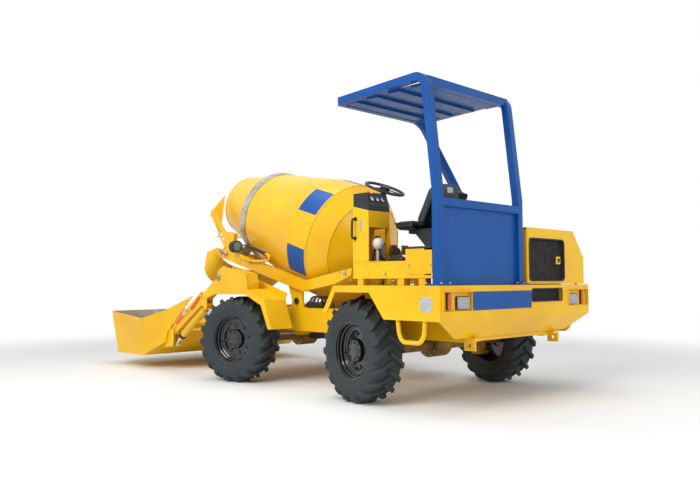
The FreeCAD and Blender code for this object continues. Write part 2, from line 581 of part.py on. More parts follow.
def roll_frame():
    """Two bent posts with roof rails, a front tube that runs down as a brace, and a panel."""
    width = size("tube")
    bend = size("bend_r")
    left, right = size("post_left"), size("post_right")
    foot_z = size("deck_z")
    rear_x, knee_z = -size("post_x"), size("knee_z")
    roof_x, roof_z = -size("roof_rear_x"), size("roof_rear_z") + width / 2
    front_x, front_z = -size("roof_front_x"), size("roof_front_z")
    shapes = []
    for y in (left, right):
        shapes.append(tube_run([Vector(rear_x, y, foot_z), Vector(rear_x, y, knee_z),
                                Vector(roof_x, y, roof_z - 26), Vector(front_x, y, front_z)], bend, width))
    brace = Vector(-size("brace_foot_x"), right, foot_z + size("brace_lift"))
    shapes.append(tube_run([Vector(front_x, left, front_z), Vector(front_x, right, front_z), brace],
                           bend, width))
    low, high = size("mid_low"), size("mid_high")
    shapes.append(Part.makeBox(width, left - right, high - low, Vector(rear_x - width / 2, right, low)))
    shapes.append(Part.makeBox(width, left - right, width, Vector(roof_x - width / 2 + 12, right,
                                                                 roof_z - width * 1.1 - size("cross_drop"))))
    panel_low = size("panel_low")
    shapes.append(Part.makeBox(size("panel_t"), left - right, low + 2 - panel_low,
                               Vector(rear_x, right, panel_low)))
    foot, plate = size("foot_half"), size("foot_t")
    for x, y in ((rear_x, left), (rear_x, right), (brace.x, right)):
        shapes.append(Part.makeBox(2 * foot, 2 * foot * 0.93, plate,
                                   Vector(x - foot * 0.9, y - foot * 0.93, foot_z)))
    solid = shapes[0].multiFuse(shapes[1:])
    return node(made("roll_frame", solid), "roll_frame")


def canopy():
    """Roof sheet on the rails with two pressed ribs beneath."""
    width = size("tube")
    front, rear = -size("roof_front_x") + width / 2, -size("roof_rear_x") + width / 2 + 12 + 0.3
    z = size("roof_front_z") - width / 2 - size("canopy_t") + 22
    inner_left = size("post_left") - width / 2 - 0.3
    inner_right = size("post_right") + width / 2 + 0.3
    length = front - width - 0.3 - rear
    sheet_shape = Part.makeBox(length, inner_left - inner_right, size("canopy_t"), Vector(rear, inner_right, z))
    deep, wide = size("rib_deep"), size("rib_w")
    ribs = [Part.makeBox(wide, inner_left - inner_right, deep + 1, Vector(rear + length * share, inner_right, z - deep))
            for share in (0.02, 0.3, 0.58, 0.85)]
    notch = size("bend_r") - width / 2
    corner = Part.makeBox(notch, notch, 3 * deep, Vector(rear + length - notch, inner_right - 1, z - 2 * deep))
    return node(made("canopy", sheet_shape.multiFuse(ribs).cut(corner)), "canopy")


def platform():
    """Folded floor with the seat box and its legs on the deck."""
    side = slab("step_side", [("-step_rear", "step_low"), ("-step_front", "step_low"), ("-step_front", "step_top"),
                              ("-box_front", "step_top"), ("-box_front", "box_top"), ("-step_rear + 70", "box_top"),
                              ("-step_rear + 70", "step_low + 20"), ("-step_rear", "step_low + 20")],
                "step_y - plate_t", "plate_t")
    floor = sheet_plate("step_floor", rectangle("-box_front", "floor_in", "-step_front", "step_y"),
                        "step_top - plate_t", "plate_t")
    seat_box = box("seat_box", "-step_rear + 70", "floor_in", "step_top - plate_t",
                   "step_rear - 70 - box_front", "step_y - floor_in", "box_top - step_top + plate_t")
    parts = [side, floor, seat_box]
    for name, x in (("front", "-940"), ("mid", "-1330"), ("rear", "-1520")):
        for tag, y in (("out", "step_y - leg_w - plate_t"), ("in", "floor_in")):
            parts.append(box("leg_%s_%s" % (name, tag), x, y, "deck_z", "leg_w", "leg_w",
                             "step_top - plate_t - deck_z"))
    return node(fuse("operator_platform", parts), "operator_platform")


def console():
    """Left plate, sloped rear panel, and the post beside the footwell."""
    left = slab("console_left", [("-console_rear", "step_top"), ("-step_front", "step_top"),
                                 ("-step_front", "console_top"), ("-console_rear", "console_back_top")],
                "step_y - plate_t", "plate_t")
    front = section("console_front", rectangle("console_in", "step_top", "step_y", "console_top"),
                    "-step_front - plate_t", "plate_t")
    rear = section("console_back", rectangle("console_in", "foot_top", "step_y", "console_back_top"),
                   "-console_rear", "plate_t")
    inner = slab("console_post", [("-console_rear", "step_top"), ("-console_rear + 40", "step_top"),
                                  ("-console_rear + 40", "foot_top"), ("-step_front", "foot_top"),
                                  ("-step_front", "console_top"), ("-console_rear", "console_back_top")],
                 "console_in", "plate_t")
    top = slab("console_lid", [("-console_rear", "console_back_top"), ("-step_front", "console_top"),
                               ("-step_front", "console_top - 6"), ("-console_rear", "console_back_top - 6")],
               "console_in", "step_y - console_in")
    return node(fuse("console", [left, front, rear, inner, top]), "console")


def instruments():
    """Black instrument box on the console, with the steering column."""
    rise = "(console_top - console_back_top) / (console_rear - step_front)"
    case = slab("gauge_case", [("-gauge_rear", "gauge_z"), ("-gauge_rear + 30", "gauge_high"),
                               ("-gauge_front", "gauge_high"),
                               ("-gauge_front", "console_top + seat_gap - %s * (gauge_front - step_front)" % rise),
                               ("-console_rear", "console_back_top + seat_gap")],
                "console_in", "step_y - console_in")
    column = bar("column", "-wheel_x + column_length * sin(wheel_lean)", "wheel_y",
                 "wheel_z - column_length * cos(wheel_lean)", "column_r",
                 "column_length - handwheel_hub / 2 - 0.3", "90 + wheel_lean")
    bracket = box("column_bracket", "-wheel_x + 10", "wheel_y - column_r", "console_top + 4", "90",
                  "console_in - wheel_y + 2 * column_r", "50")
    return node(fuse("instrument_box", [case, column, bracket]), "instrument_box")


def handwheel():
    """Steering wheel: rim, three spokes and hub, on its own axis."""
    radius, wire, hub = size("wheel_r"), size("wheel_wire"), size("handwheel_hub")
    shapes = [Part.makeTorus(radius, wire), Part.makeCylinder(hub, hub, Vector(0, 0, -hub / 2))]
    for k in range(3):
        spoke = Part.makeBox(radius, wire * 1.4, wire * 0.7, Vector(0, -wire * 0.7, -wire * 0.35))
        spoke.rotate(Vector(), Vector(0, 0, 1), 90 + 120 * k)
        shapes.append(spoke)
    solid = shapes[0].multiFuse(shapes[1:])
    return node(made("handwheel", solid), "handwheel", "-wheel_x", "wheel_y", "wheel_z",
                Vector(0, 1, 0), "-wheel_lean")


def seat():
    """Pan seat: a stand that leans back on its box, a tray, the cushion and the raked back."""
    stand = slab("seat_stand", [("-base_rear", "box_top"), ("-stand_foot", "box_top"),
                                ("-stand_head", "seat_low - tray_t"), ("-base_rear", "seat_low - tray_t")],
                 "seat_y - base_half", "2 * base_half")
    tray = box("seat_tray", "-base_rear", "seat_y - base_half", "seat_low - tray_t - seat_gap",
               "base_rear - base_front", "2 * base_half", "tray_t")
    node(fuse("seat_base", [stand, tray]), "seat_base")
    cushion = box("seat_cushion", "0", "0", "0", "seat_rear - seat_front", "2 * seat_half",
                  "seat_high - seat_low")
    node(cushion, "seat_cushion", "-seat_rear", "seat_y - seat_half", "seat_low")
    back = box("seat_back", "0", "0", "0", "back_t", "2 * seat_half", "back_length")
    return node(back, "seat_back", "-seat_rear - back_t * cos(back_lean) - seat_gap", "seat_y - seat_half",
                "seat_low", Vector(0, 1, 0), "-back_lean")


def access_steps():
    """A bent hoop under each side of the rear body."""
    radius, bend = size("hoop_r"), size("hoop_bend")
    top, low = size("fold_z") + 8, size("hoop_low") + radius
    out_y = size("body_half") - size("sheet_t") - size("seat_gap") - radius
    shapes = []
    for y in (out_y, -out_y):
        points = [Vector(-size("hoop_front"), y, top), Vector(-size("hoop_front") - 12, y, low + 60),
                  Vector(-size("hoop_front") - 40, y, low), Vector(-size("hoop_rear") + 40, y, low),
                  Vector(-size("hoop_rear") + 8, y, low + 60), Vector(-size("hoop_rear"), y, top)]
        shapes.append(round_run(points, bend, radius))
    return node(made("access_steps", Part.makeCompound(shapes)), "access_steps")


def round_run(points, bend, radius):
    """A round bar along straight runs joined by bends."""
    edges = []
    start = points[0]
    for before, corner, after in zip(points, points[1:], points[2:]):
        into = (corner - before).normalize()
        out = (after - corner).normalize()
        half_turn = into.getAngle(out) / 2
        shorter = min((corner - before).Length, (after - corner).Length)
        turn_r = min(bend, 0.45 * shorter / math.tan(half_turn))
        reach = turn_r * math.tan(half_turn)
        first, last = corner - into * reach, corner + out * reach
        middle = corner + (out - into).normalize() * (turn_r / math.cos(half_turn) - turn_r)
        edges += [Part.LineSegment(start, first).toShape(), Part.Arc(first, middle, last).toShape()]
        start = last
    edges.append(Part.LineSegment(start, points[-1]).toShape())
    path = Part.Wire(edges)
    ring = Part.Wire(Part.makeCircle(radius, points[0], points[1] - points[0]))
    pipe = Part.BRepOffsetAPI.MakePipeShell(path)
    pipe.add(ring)
    pipe.build()
    pipe.makeSolid()
    return pipe.shape()


# ---------------------------------------------------------------- front arches and loader

def front_fender():
    """Wheel arch with mudguard, and the two tower plates that hold one loader arm."""
    top = slab("fender_top", rectangle("mud_x", "arch_z", "fender_front", "arch_z + arch_t"),
               "fender_in", "tower_out - fender_in")
    lip_x, lip_z = "mud_x - mud_lip * 0.6", "arch_z + mud_lip"
    rear = slab("fender_rear", [("mud_x + arch_t", "arch_z"), ("mud_x + arch_t", "arch_z + arch_t"),
                                (lip_x, lip_z), ("mud_mid_x - mud_lip", "mud_mid_z + mud_lip"),
                                ("mud_low_x - mud_lip", "mud_low_z"), ("mud_low_x - mud_lip + arch_t", "mud_low_z"),
                                ("mud_mid_x - mud_lip + arch_t", "mud_mid_z + mud_lip - arch_t"),
                                (lip_x + " - 2", lip_z + " - arch_t")],
                "fender_in", "tower_out - fender_in")
    guard = slab("fender_guard", [("web_top_x", "web_top_z"), ("web_nose_x", "web_nose_z"),
                                  ("web_nose_x", "arch_z + 2"), ("mud_x", "arch_z + 2"), (lip_x, lip_z + " - 4"),
                                  ("mud_mid_x - mud_lip", "mud_mid_z + mud_lip - 4"),
                                  ("web_rear_x", "web_rear_z")],
                 "fender_in", "guard_t")
    outer = slab("tower_outer", [("mud_low_x", "mud_low_z"), ("mud_mid_x", "mud_mid_z"), ("mud_x", "arch_z"),
                                 ("tower_front_x", "arch_z"), ("tower_front_x + 52", "tower_under_z + 30"),
                                 ("tower_under_x", "tower_under_z"), ("tower_nose_x", "tower_nose_z"),
                                 ("tower_front_x", "tower_join_z + 60"), ("tower_front_x - 40", "tower_top_z - 42"),
                                 ("tower_top_x", "tower_top_z"), ("tower_rear_x", "tower_rear_z"),
                                 ("tower_notch_x", "tower_notch_z"), ("mud_x - mud_lip * 0.6", "arch_z + mud_lip"),
                                 ("mud_mid_x - mud_lip", "mud_mid_z + mud_lip"),
                                 ("mud_low_x - mud_lip", "mud_low_z")],
                 "tower_out - tower_t", "tower_t")
    inner = slab("tower_inner", [("mud_x", "arch_z + 2"), ("tower_front_x", "arch_z + 2"),
                                 ("tower_front_x", "tower_join_z + 60"), ("tower_front_x - 40", "tower_top_z - 42"),
                                 ("tower_top_x", "tower_top_z"), ("tower_rear_x", "tower_rear_z")],
                 "tower_in", "tower_t")
    lid = slab("tower_lid", [("tower_rear_x", "tower_rear_z"), ("tower_rear_x + 200", "tower_rear_z + 41"),
                             ("tower_rear_x + 200", "tower_rear_z + 36"), ("tower_rear_x", "tower_rear_z - 5")],
               "tower_in", "tower_out - tower_in")
    arm_pin = pin("tower_arm_pin", "arm_pivot_x", "tower_in", "arm_pivot_z", "arm_pin_r",
                  "tower_out - tower_in + 4")
    lift_pin = pin("tower_lift_pin", "lift_base_x", "tower_in", "lift_base_z", "tilt_pin_r",
                   "tower_out - tower_in + 2")
    shelf = slab("fender_shelf", rectangle("mud_x", "arch_z", "rail_front - 100", "arch_z + arch_t"),
                 "rail_y", "fender_in - rail_y + 2")
    strut = slab("fender_strut", [("rail_front - 300", "rail_top - 80"), ("rail_front - 60", "rail_top - 80"),
                                  ("rail_front - 100", "arch_z"), ("rail_front - 260", "arch_z")],
                 "rail_y", "8")
    parts = [top, rear, guard, outer, inner, lid, arm_pin, lift_pin, shelf, strut]
    node(fuse("fender_left", parts), "fender_left")
    return node(mirror("fender_right", fuse("fender_solid", parts)), "fender_right")


def arms():
    """Both loader arms with their lift levers, cylinder lugs and the cross tube."""
    root = Vector(size("arm_pivot_x"), 0, size("arm_pivot_z"))
    tip = Vector(size("bucket_pin_x"), 0, size("bucket_pin_z"))
    inner, width, half = size("arm_in"), size("arm_w"), size("arm_half")
    along = (tip - root).normalize()
    up = Vector(-along.z, 0, along.x)

    def plate(points, start, thickness):
        face = Part.Face(Part.makePolygon([p + Vector(0, start, 0) for p in points + [points[0]]]))
        return face.extrude(Vector(0, thickness, 0))

    def disc(centre, radius, start, thickness):
        return Part.makeCylinder(radius, thickness, Vector(centre.x, start, centre.z), Vector(0, 1, 0))

    beam = plate([root + up * half, tip + up * size("tip_r"), tip - up * size("tip_r"), root - up * half],
                 inner, width)
    lever = math.radians(size("lever_back"))
    eye = root + Vector(-math.sin(lever), 0, -math.cos(lever)) * size("lever_r")
    middle = inner + width / 2
    lever_start, lever_t = middle - size("lever_t") / 2, size("lever_t")
    side_on = (eye - root).cross(Vector(0, 1, 0)).normalize() * size("lever_eye")
    base = Vector(size("tilt_base_x"), 0, size("tilt_base_z"))
    seat_point = root + along * ((base - root).dot(along))
    lug_gap = size("tilt_eye_w") / 2 + size("fork_gap") / 2
    lug_t, lug_r = size("lug_t"), size("lug_r")
    shapes = [beam, disc(root, size("arm_r"), inner, width), disc(tip, size("tip_r"), inner, width),
              plate([root + side_on, root - side_on, eye - side_on, eye + side_on], lever_start, lever_t),
              disc(eye, size("lever_eye"), lever_start, lever_t)]
    for start in (middle - lug_gap - lug_t, middle + lug_gap):
        shapes.append(plate([seat_point - along * 70 - up * 20, seat_point + along * 70 - up * 20,
                             base + along * lug_r * 0.9, base - along * lug_r * 0.9], start, lug_t))
        shapes.append(disc(base, lug_r, start, lug_t))
    shapes.append(disc(base, size("tilt_pin_r"), middle - lug_gap - lug_t, 2 * (lug_gap + lug_t)))
    solid = shapes[0].multiFuse(shapes[1:])
    gap = size("running_gap")
    bores = disc(root, size("arm_pin_r") + gap, inner - 5, width + 10)
    bores = bores.fuse(disc(tip, size("bucket_pin_r") + gap, inner - 5, width + 10))
    solid = solid.cut(bores)
    other = solid.mirror(Vector(), Vector(0, 1, 0))
    tube = Part.makeCylinder(size("cross_r"), 2 * inner + 2, Vector(size("cross_x"), -inner - 1, size("cross_z")),
                             Vector(0, 1, 0))
    return node(made("loader_arms", solid.multiFuse([other, tube])), "loader_arms")


def cylinder_side(base, eye, barrel_length, barrel_r, rod_r, eye_r, middle, travel=0.0):
    """A hydraulic cylinder's barrel from its base pin, bored for its rod and the rod's way in."""
    base_pin_r, gap = size("tilt_pin_r"), size("running_gap")
    along = (eye - base).normalize()
    reach = (eye - base).Length
    centre = Vector(0, middle, 0)
    wide, neck = size("tilt_eye_w"), eye_r + size("cylinder_neck")
    across = Vector(0, 1, 0)
    barrel = Part.makeCylinder(barrel_r, barrel_length - neck, base + centre + along * neck, along)
    barrel = barrel.fuse(Part.makeCylinder(eye_r, wide, base + centre - across * (wide / 2), across))
    barrel = barrel.fuse(Part.makeCylinder(rod_r * 1.1, neck + 2, base + centre, along))
    barrel = barrel.cut(Part.makeCylinder(base_pin_r + gap, wide + 10,
                                          base + centre - across * (wide / 2 + 5), across))
    bottom = neck + 8
    barrel = barrel.cut(Part.makeCylinder(rod_r + gap, barrel_length, base + centre + along * bottom, along))
    start = bottom + travel + size("rod_play")
    return barrel, start, along, reach, centre


def lift_cylinders():
    lever = math.radians(size("lever_back"))
    base = Vector(size("lift_base_x"), 0, size("lift_base_z"))
    eye = Vector(size("arm_pivot_x") - math.sin(lever) * size("lever_r"), 0,
                 size("arm_pivot_z") - math.cos(lever) * size("lever_r"))
    rod_r = size("lift_rod_r")
    middle = size("arm_in") + size("arm_w") / 2
    barrel, start, along, reach, centre = cylinder_side(base, eye, size("lift_barrel"), size("lift_r"),
                                                        rod_r, size("lift_eye_r"), middle)
    both = Part.makeCompound([barrel, barrel.mirror(Vector(), Vector(0, 1, 0))])
    node(made("lift_barrels", both), "lift_barrels")
    fork_t, fork_gap = size("fork_t"), size("lever_t") / 2 + size("fork_gap")
    rod = Part.makeCylinder(rod_r, reach - start - size("lift_eye_r") - 18, base + centre + along * start, along)
    heel = base + centre + along * (reach - size("lift_eye_r") - 22)
    up = Vector(-along.z, 0, along.x)
    half = fork_gap + fork_t
    corners = [heel + up * 20 + Vector(0, half, 0), heel + up * 20 - Vector(0, half, 0),
               heel - up * 20 - Vector(0, half, 0), heel - up * 20 + Vector(0, half, 0)]
    rod = rod.fuse(Part.Face(Part.makePolygon(corners + [corners[0]])).extrude(along * 12))
    for side in (fork_gap, -fork_gap - fork_t):
        cheek = Part.Face(Part.makePolygon([p + Vector(0, middle_shift, 0) for p, middle_shift in
                                            [(heel + up * 20, side), (heel - up * 20, side),
                                             (heel - up * 20 + along * 36, side),
                                             (heel + up * 20 + along * 36, side), (heel + up * 20, side)]]))
        cheek = cheek.extrude(Vector(0, fork_t, 0))
        eye_disc = Part.makeCylinder(20, fork_t, eye + centre + Vector(0, side, 0), Vector(0, 1, 0))
        rod = rod.multiFuse([cheek, eye_disc])
    node(made("lift_rods", Part.makeCompound([rod, rod.mirror(Vector(), Vector(0, 1, 0))])), "lift_rods")


def tilt_cylinders():
    base = Vector(size("tilt_base_x"), 0, size("tilt_base_z"))
    eye = Vector(size("tilt_eye_x"), 0, size("tilt_eye_z"))
    rod_r = size("tilt_rod_r")
    middle = size("arm_in") + size("arm_w") / 2
    eye_r = size("lug_r") - 2
    barrel, start, along, reach, centre = cylinder_side(base, eye, size("tilt_barrel"), size("tilt_r"),
                                                        rod_r, eye_r, middle, size("tilt_travel"))
    node(made("tilt_barrels", Part.makeCompound([barrel, barrel.mirror(Vector(), Vector(0, 1, 0))])),
         "tilt_barrels")
    rod = Part.makeCylinder(rod_r, reach - start, base + centre + along * start, along)
    rod = rod.fuse(Part.makeCylinder(eye_r, size("tilt_eye_w"), eye + centre - Vector(0, size("tilt_eye_w") / 2, 0),
                                     Vector(0, 1, 0)))
    return node(made("tilt_rods", Part.makeCompound([rod, rod.mirror(Vector(), Vector(0, 1, 0))])), "tilt_rods")


def bucket():
    """Trough between shaped side plates, whose wings reach back past the arms' tips."""
    t = size("bucket_t")
    half = size("bucket_half")
    fold, taper = size("wing_fold_x"), size("wing_taper")

    def side_y(x):
        return half - max(0.0, fold - x) * taper

    lip = (size("lip_x"), size("lip_z"))
    heel = (size("heel_x"), size("floor_z"))
    floor = (size("floor_x"), size("floor_z"))
    slope = (size("slope_x"), size("slope_z"))
    edge = (size("edge_x"), size("edge_z"))
    line = [lip, heel, floor, slope, edge]
    solids = []
    for (x0, z0), (x1, z1) in zip(line, line[1:]):
        run = Vector(x1 - x0, 0, z1 - z0).normalize()
        inward = Vector(-run.z, 0, run.x) * -1
        y0, y1 = side_y(x0) - 1, side_y(x1) - 1
        face = Part.Face(Part.makePolygon([Vector(x0, -y0, z0), Vector(x0, y0, z0), Vector(x1, y1, z1),
                                           Vector(x1, -y1, z1), Vector(x0, -y0, z0)]))
        solids.append(face.extrude(inward * t))
    outline = [lip, heel, floor, slope, edge, (size("wing_x"), size("wing_z")),
               (size("shoulder_x"), size("shoulder_z")), (size("rim_x"), size("rim_z"))]
    fold_low = floor
    front = [lip, heel, floor, (size("rim_x"), size("rim_z"))]
    back = [floor, slope, edge, (size("wing_x"), size("wing_z")), (size("shoulder_x"), size("shoulder_z")),
            (size("rim_x"), size("rim_z"))]
    for points in (front, back):
        big = Part.Face(Part.makePolygon([Vector(x, half + 5, z) for x, z in points + [points[0]]]))
        block = big.extrude(Vector(0, -300, 0))
        bent = Part.makePolygon([Vector(1400, side_y(1400), 0), Vector(fold, half, 0), Vector(3100, half, 0),
                                 Vector(3100, half - t, 0), Vector(fold, half - t, 0),
                                 Vector(1400, side_y(1400) - t, 0), Vector(1400, side_y(1400), 0)])
        wall = Part.Face(bent).extrude(Vector(0, 0, 1000))
        plate = block.common(wall)
        solids += [plate, plate.mirror(Vector(), Vector(0, 1, 0))]
    pivot = Vector(size("bucket_pin_x"), 0, size("bucket_pin_z"))
    eye = Vector(size("tilt_eye_x"), 0, size("tilt_eye_z"))
    inner, width = size("arm_in"), size("arm_w")
    gap, ear = size("fork_gap"), size("lug_t")
    for start in (inner - gap - ear, inner + width + gap):
        base_face = Part.Face(Part.makePolygon([Vector(x, start, z) for x, z in (
            (pivot.x - 30, pivot.z + 22), (edge[0] + 1, edge[1] + 5), (slope[0] + 2, slope[1]),
            (slope[0] + 120, slope[1] - 62), (eye.x + 6, eye.z - 30), (eye.x - 28, eye.z - 8),
            (pivot.x - 36, pivot.z - 10), (pivot.x - 30, pivot.z + 22))]))
        solids.append(base_face.extrude(Vector(0, ear, 0)))
    pins = Part.makeCylinder(size("bucket_pin_r"), width + 2 * (gap + ear), Vector(pivot.x, inner - gap - ear, pivot.z),
                             Vector(0, 1, 0))
    solids.append(pins)
    mirrored = [s.mirror(Vector(), Vector(0, 1, 0)) for s in solids[-3:]]
    solid = solids[0].multiFuse(solids[1:] + mirrored)
    return node(made("bucket", solid), "bucket")


# ---------------------------------------------------------------- drum and its frame

def drum():
    """Open double cone with a cylindrical belt, on its own axis."""
    inner = "drum_wall"
    outer = [("mouth_s", "mouth_r"), ("ring_s + ring_w / 2", "ring_seat_r"), ("belt_front_s", "belt_r"),
             ("belt_rear_s", "belt_r"), ("cone_s", "cone_r"), ("dish_s", "dish_r"), ("end_s", "shaft_r"),
             ("shaft_s", "shaft_r"), ("shaft_s", "0")]
    hollow = [("end_s + drum_wall", "0"), ("end_s + drum_wall", "shaft_r"), ("dish_s + drum_wall", "dish_r - drum_wall"),
              ("cone_s + drum_wall", "cone_r - drum_wall"), ("belt_rear_s", "belt_r - drum_wall"),
              ("belt_front_s", "belt_r - drum_wall"), ("ring_s + ring_w / 2", "ring_seat_r - drum_wall"),
              ("mouth_s", "mouth_r - drum_wall")]
    body = turned("drum_shell", outer + hollow, "H_Axis")
    node(body, "drum_shell", "drum_x", "0", "drum_z", Vector(0, 1, 0), "-drum_lean")
    low = "ring_seat_r + 6"
    ring = turned("drum_ring", [("ring_s", low), ("ring_s", "ring_r"), ("ring_s + ring_w", "ring_r"),
                                ("ring_s + ring_w", "ring_seat_r - 10"), ("ring_s + ring_w / 2", "ring_seat_r + 0.2")],
                  "H_Axis")
    return node(ring, "drum_ring", "drum_x", "0", "drum_z", Vector(0, 1, 0), "-drum_lean")


def along_drum(s, r=0.0, around=0.0):
    """A point at a distance along the drum's axis; around is counted from straight up."""
    lean = math.radians(size("drum_lean"))
    turn = math.radians(around)
    forward = Vector(math.cos(lean), 0, math.sin(lean))
    up = Vector(-math.sin(lean), 0, math.cos(lean))
    start = Vector(size("drum_x"), 0, size("drum_z"))
    return start + forward * s + up * (r * math.cos(turn)) + Vector(0, 1, 0) * (r * math.sin(turn))


def drum_frame():
    """Two bent side beams with pivot hangers, joined by a front and a rear cross tube."""
    beam = slab("vee", [("vee_tip_x", "vee_tip_low"), ("vee_nose_x", "vee_nose_z"), ("vee_high_x", "vee_high_z"),
                        ("-vee_end_x", "vee_end_z"), ("-vee_heel_x - 190", "vee_heel_z + 70"),
                        ("-vee_heel_x", "vee_heel_z"), ("vee_low_x", "vee_low_z")], "vee_in", "vee_t")
    hanger = slab("hanger", [("hanger_rear", "vee_low_z + 20"), ("hanger_rear", "hanger_low"),
                             ("hanger_front - 70", "hanger_low"), ("hanger_front", "vee_low_z + 60")],
                  "ear_y - 1 - hanger_t", "hanger_t")
    bored = cut("hanger_bored", hanger, [pin("hanger_bore", "pivot_x", "vee_in - 30", "pivot_z",
                                             "pivot_r + running_gap", "90")])
    front = pin("front_tie", "front_tie_x", "-vee_in - 5", "front_tie_z", "front_tie_r", "2 * vee_in + 10")
    rear = pin("rear_tie", "-rear_tie_x", "-vee_in - 5", "rear_tie_z", "tie_r", "2 * vee_in + 10")
    lug = slab("tie_lug", [("-jack_eye_x - jack_eye_r", "jack_eye_z - jack_eye_r * 0.7"),
                           ("-jack_eye_x + jack_eye_r", "jack_eye_z - jack_eye_r * 0.7"),
                           ("-rear_tie_x + 10", "rear_tie_z - 10"), ("-rear_tie_x - 25", "rear_tie_z + 10"),
                           ("-jack_eye_x - jack_eye_r", "jack_eye_z + jack_eye_r * 0.7")],
               "jack_w / 2 + jack_gap", "jack_lug_t")
    parts = [beam, mirror("vee_other", beam), bored, mirror("hanger_other", bored), front, rear,
             lug, mirror("tie_lug_other", lug)]
    return node(fuse("drum_frame", parts), "drum_frame")


def gearmotor():
    """Gearbox and motor behind the drum, on a pedestal from the rear cross tube."""
    s, length = size("gear_s"), size("gear_length")
    forward = (along_drum(1) - along_drum(0)).normalize()
    case = Part.makeCylinder(size("gear_r"), length, along_drum(s), forward * -1)
    motor = Part.makeCylinder(size("motor_r"), size("motor_length"), along_drum(s - length + 1), forward * -1)
    tie = Vector(-size("rear_tie_x"), 0, size("rear_tie_z") + size("tie_r") - 2)
    wide, thick = size("pedestal_w"), size("pedestal_t")
    stand = Part.makeBox(90, wide, along_drum(s - length / 2).z - tie.z, Vector(tie.x - 45, -wide / 2, tie.z + 2.3))
    stand = stand.cut(Part.makeCylinder(size("gear_r") - 1, 600, along_drum(s + 200), forward * -1))
    return node(made("gearmotor", case.multiFuse([motor, stand])), "gearmotor")


def rollers():
    """Two rollers under the steel ring, each in a bracket on a side beam."""
    shapes = []
    forward = (along_drum(1) - along_drum(0)).normalize()
    around = 180 - size("roller_turn")
    radius, width = size("roller_r"), size("roller_w")
    middle = size("ring_s") + size("ring_w") / 2
    far = size("ring_r") + size("roller_gap") + radius
    roller = Part.makeCylinder(radius, width, along_drum(middle - width / 2, far, around), forward)
    pin_shape = Part.makeCylinder(18, width + 60, along_drum(middle - width / 2 - 30, far, around), forward)
    centre = along_drum(middle, far, around)
    shapes = [roller, pin_shape]
    slope = (size("vee_nose_z") - size("vee_high_z")) / (size("vee_nose_x") - size("vee_high_x"))
    for s in (middle - width / 2 - 25, middle + width / 2 + 13):
        top = along_drum(s, far, around)
        low_y = size("vee_in") + 10
        beam_top = size("vee_high_z") + slope * (top.x + 8 - size("vee_high_x")) + size("roller_gap")
        face = Part.Face(Part.makePolygon([top + Vector(0, -24, 20), top + Vector(0, 24, 20),
                                           Vector(top.x + 8, low_y + 30, beam_top),
                                           Vector(top.x + 8, low_y - 9, beam_top),
                                           top + Vector(0, -24, 20)]))
        shapes.append(face.extrude(forward * size("roller_ear")))
    solid = shapes[0].multiFuse(shapes[1:])
    both = Part.makeCompound([solid, solid.mirror(Vector(), Vector(0, 1, 0))])
    return node(made("drum_rollers", both), "drum_rollers")


def drum_jack():
    """The cylinder that tips the drum's frame, between the chassis and the rear cross tube."""
    base = Vector(-size("jack_x"), 0, size("jack_base_z"))
    eye = Vector(-size("jack_eye_x"), 0, size("jack_eye_z"))
    barrel, start, along, reach, centre = cylinder_side(base, eye, size("jack_barrel"), size("jack_r"),
                                                        size("jack_rod_r"), size("jack_eye_r"), 0,
                                                        size("jack_travel"))
    node(made("jack_barrel", barrel), "jack_barrel")
    wide = size("jack_w")
    rod = Part.makeCylinder(size("jack_rod_r"), reach - start, base + along * start, along)
    rod = rod.fuse(Part.makeCylinder(size("jack_eye_r") - 6, wide, eye - Vector(0, wide / 2, 0), Vector(0, 1, 0)))
    return node(made("jack_rod", rod), "jack_rod")


def hopper():
    """Flared cheeks and lip in front of the drum's mouth, on struts from the side beams."""
    t = size("hopper_t")
    top, nose = Vector(1722, 340, 1800), Vector(1832, 440, 1640)
    chin, heel = Vector(1832, 440, 1590), Vector(1800, 345, 1374)
    fold = Part.makeCylinder(t * 1.2, (chin - top).Length, top, chin - top)
    cheek = panel([top, nose, chin], t).multiFuse([panel([top, chin, heel], t), fold])
    out_y = size("vee_in") + size("vee_t") + size("seat_gap")
    foot = Part.makeBox(68, 6, 98, Vector(1400, out_y, 1148))
    low, high = Vector(1434, out_y + 3, 1232), Vector(1806, 351, 1390)
    strut = Part.makeCylinder(14, (high - low).Length, low, high - low)
    side = cheek.multiFuse([foot, strut])
    lip = Part.makeBox(60, 716, 1.6 * t, Vector(1790, -358, 1372))
    solid = lip.multiFuse([side, side.mirror(Vector(), Vector(0, 1, 0))])
    return node(made("hopper", solid), "hopper")


def chute_ring(half, top, deep, lean, front_x, t):
    """A thin closed U outline in a leaning plane across the machine."""
    count = 16
    points = []
    for inset, turns in ((0, range(count + 1)), (t, range(count, -1, -1))):
        for k in turns:
            angle = math.pi * (k / count - 0.5)
            y = (half - inset) * math.sin(angle)
            z = top - (deep - inset) * math.cos(angle)
            points.append(Vector(front_x - (top - z) * lean, y, z))
    return Part.makePolygon(points + [points[0]])


def chute():
    """Rounded apron under the mouth that leads the mix forward."""
    t = size("hopper_t")
    half = size("vee_in") + size("vee_t") + size("seat_gap") + t
    rear = chute_ring(half, 1232, 225, -0.2826, 1560, t)
    front = chute_ring(half, 1030, 250, 0.2, 1828, t)
    trough = Part.makeLoft([rear, front], True, True)
    cheek = Part.Face(Part.makePolygon([Vector(x, half, z) for x, z in (
        (1480, 1165), (1480, 1222), (1560, 1236), (1600, 1240), (1780, 1200), (1828, 1030), (1600, 1190),
        (1540, 1160), (1480, 1165))])).extrude(Vector(0, -t, 0))
    solid = trough.multiFuse([cheek, cheek.mirror(Vector(), Vector(0, 1, 0))])
    return node(made("discharge_chute", solid), "discharge_chute")


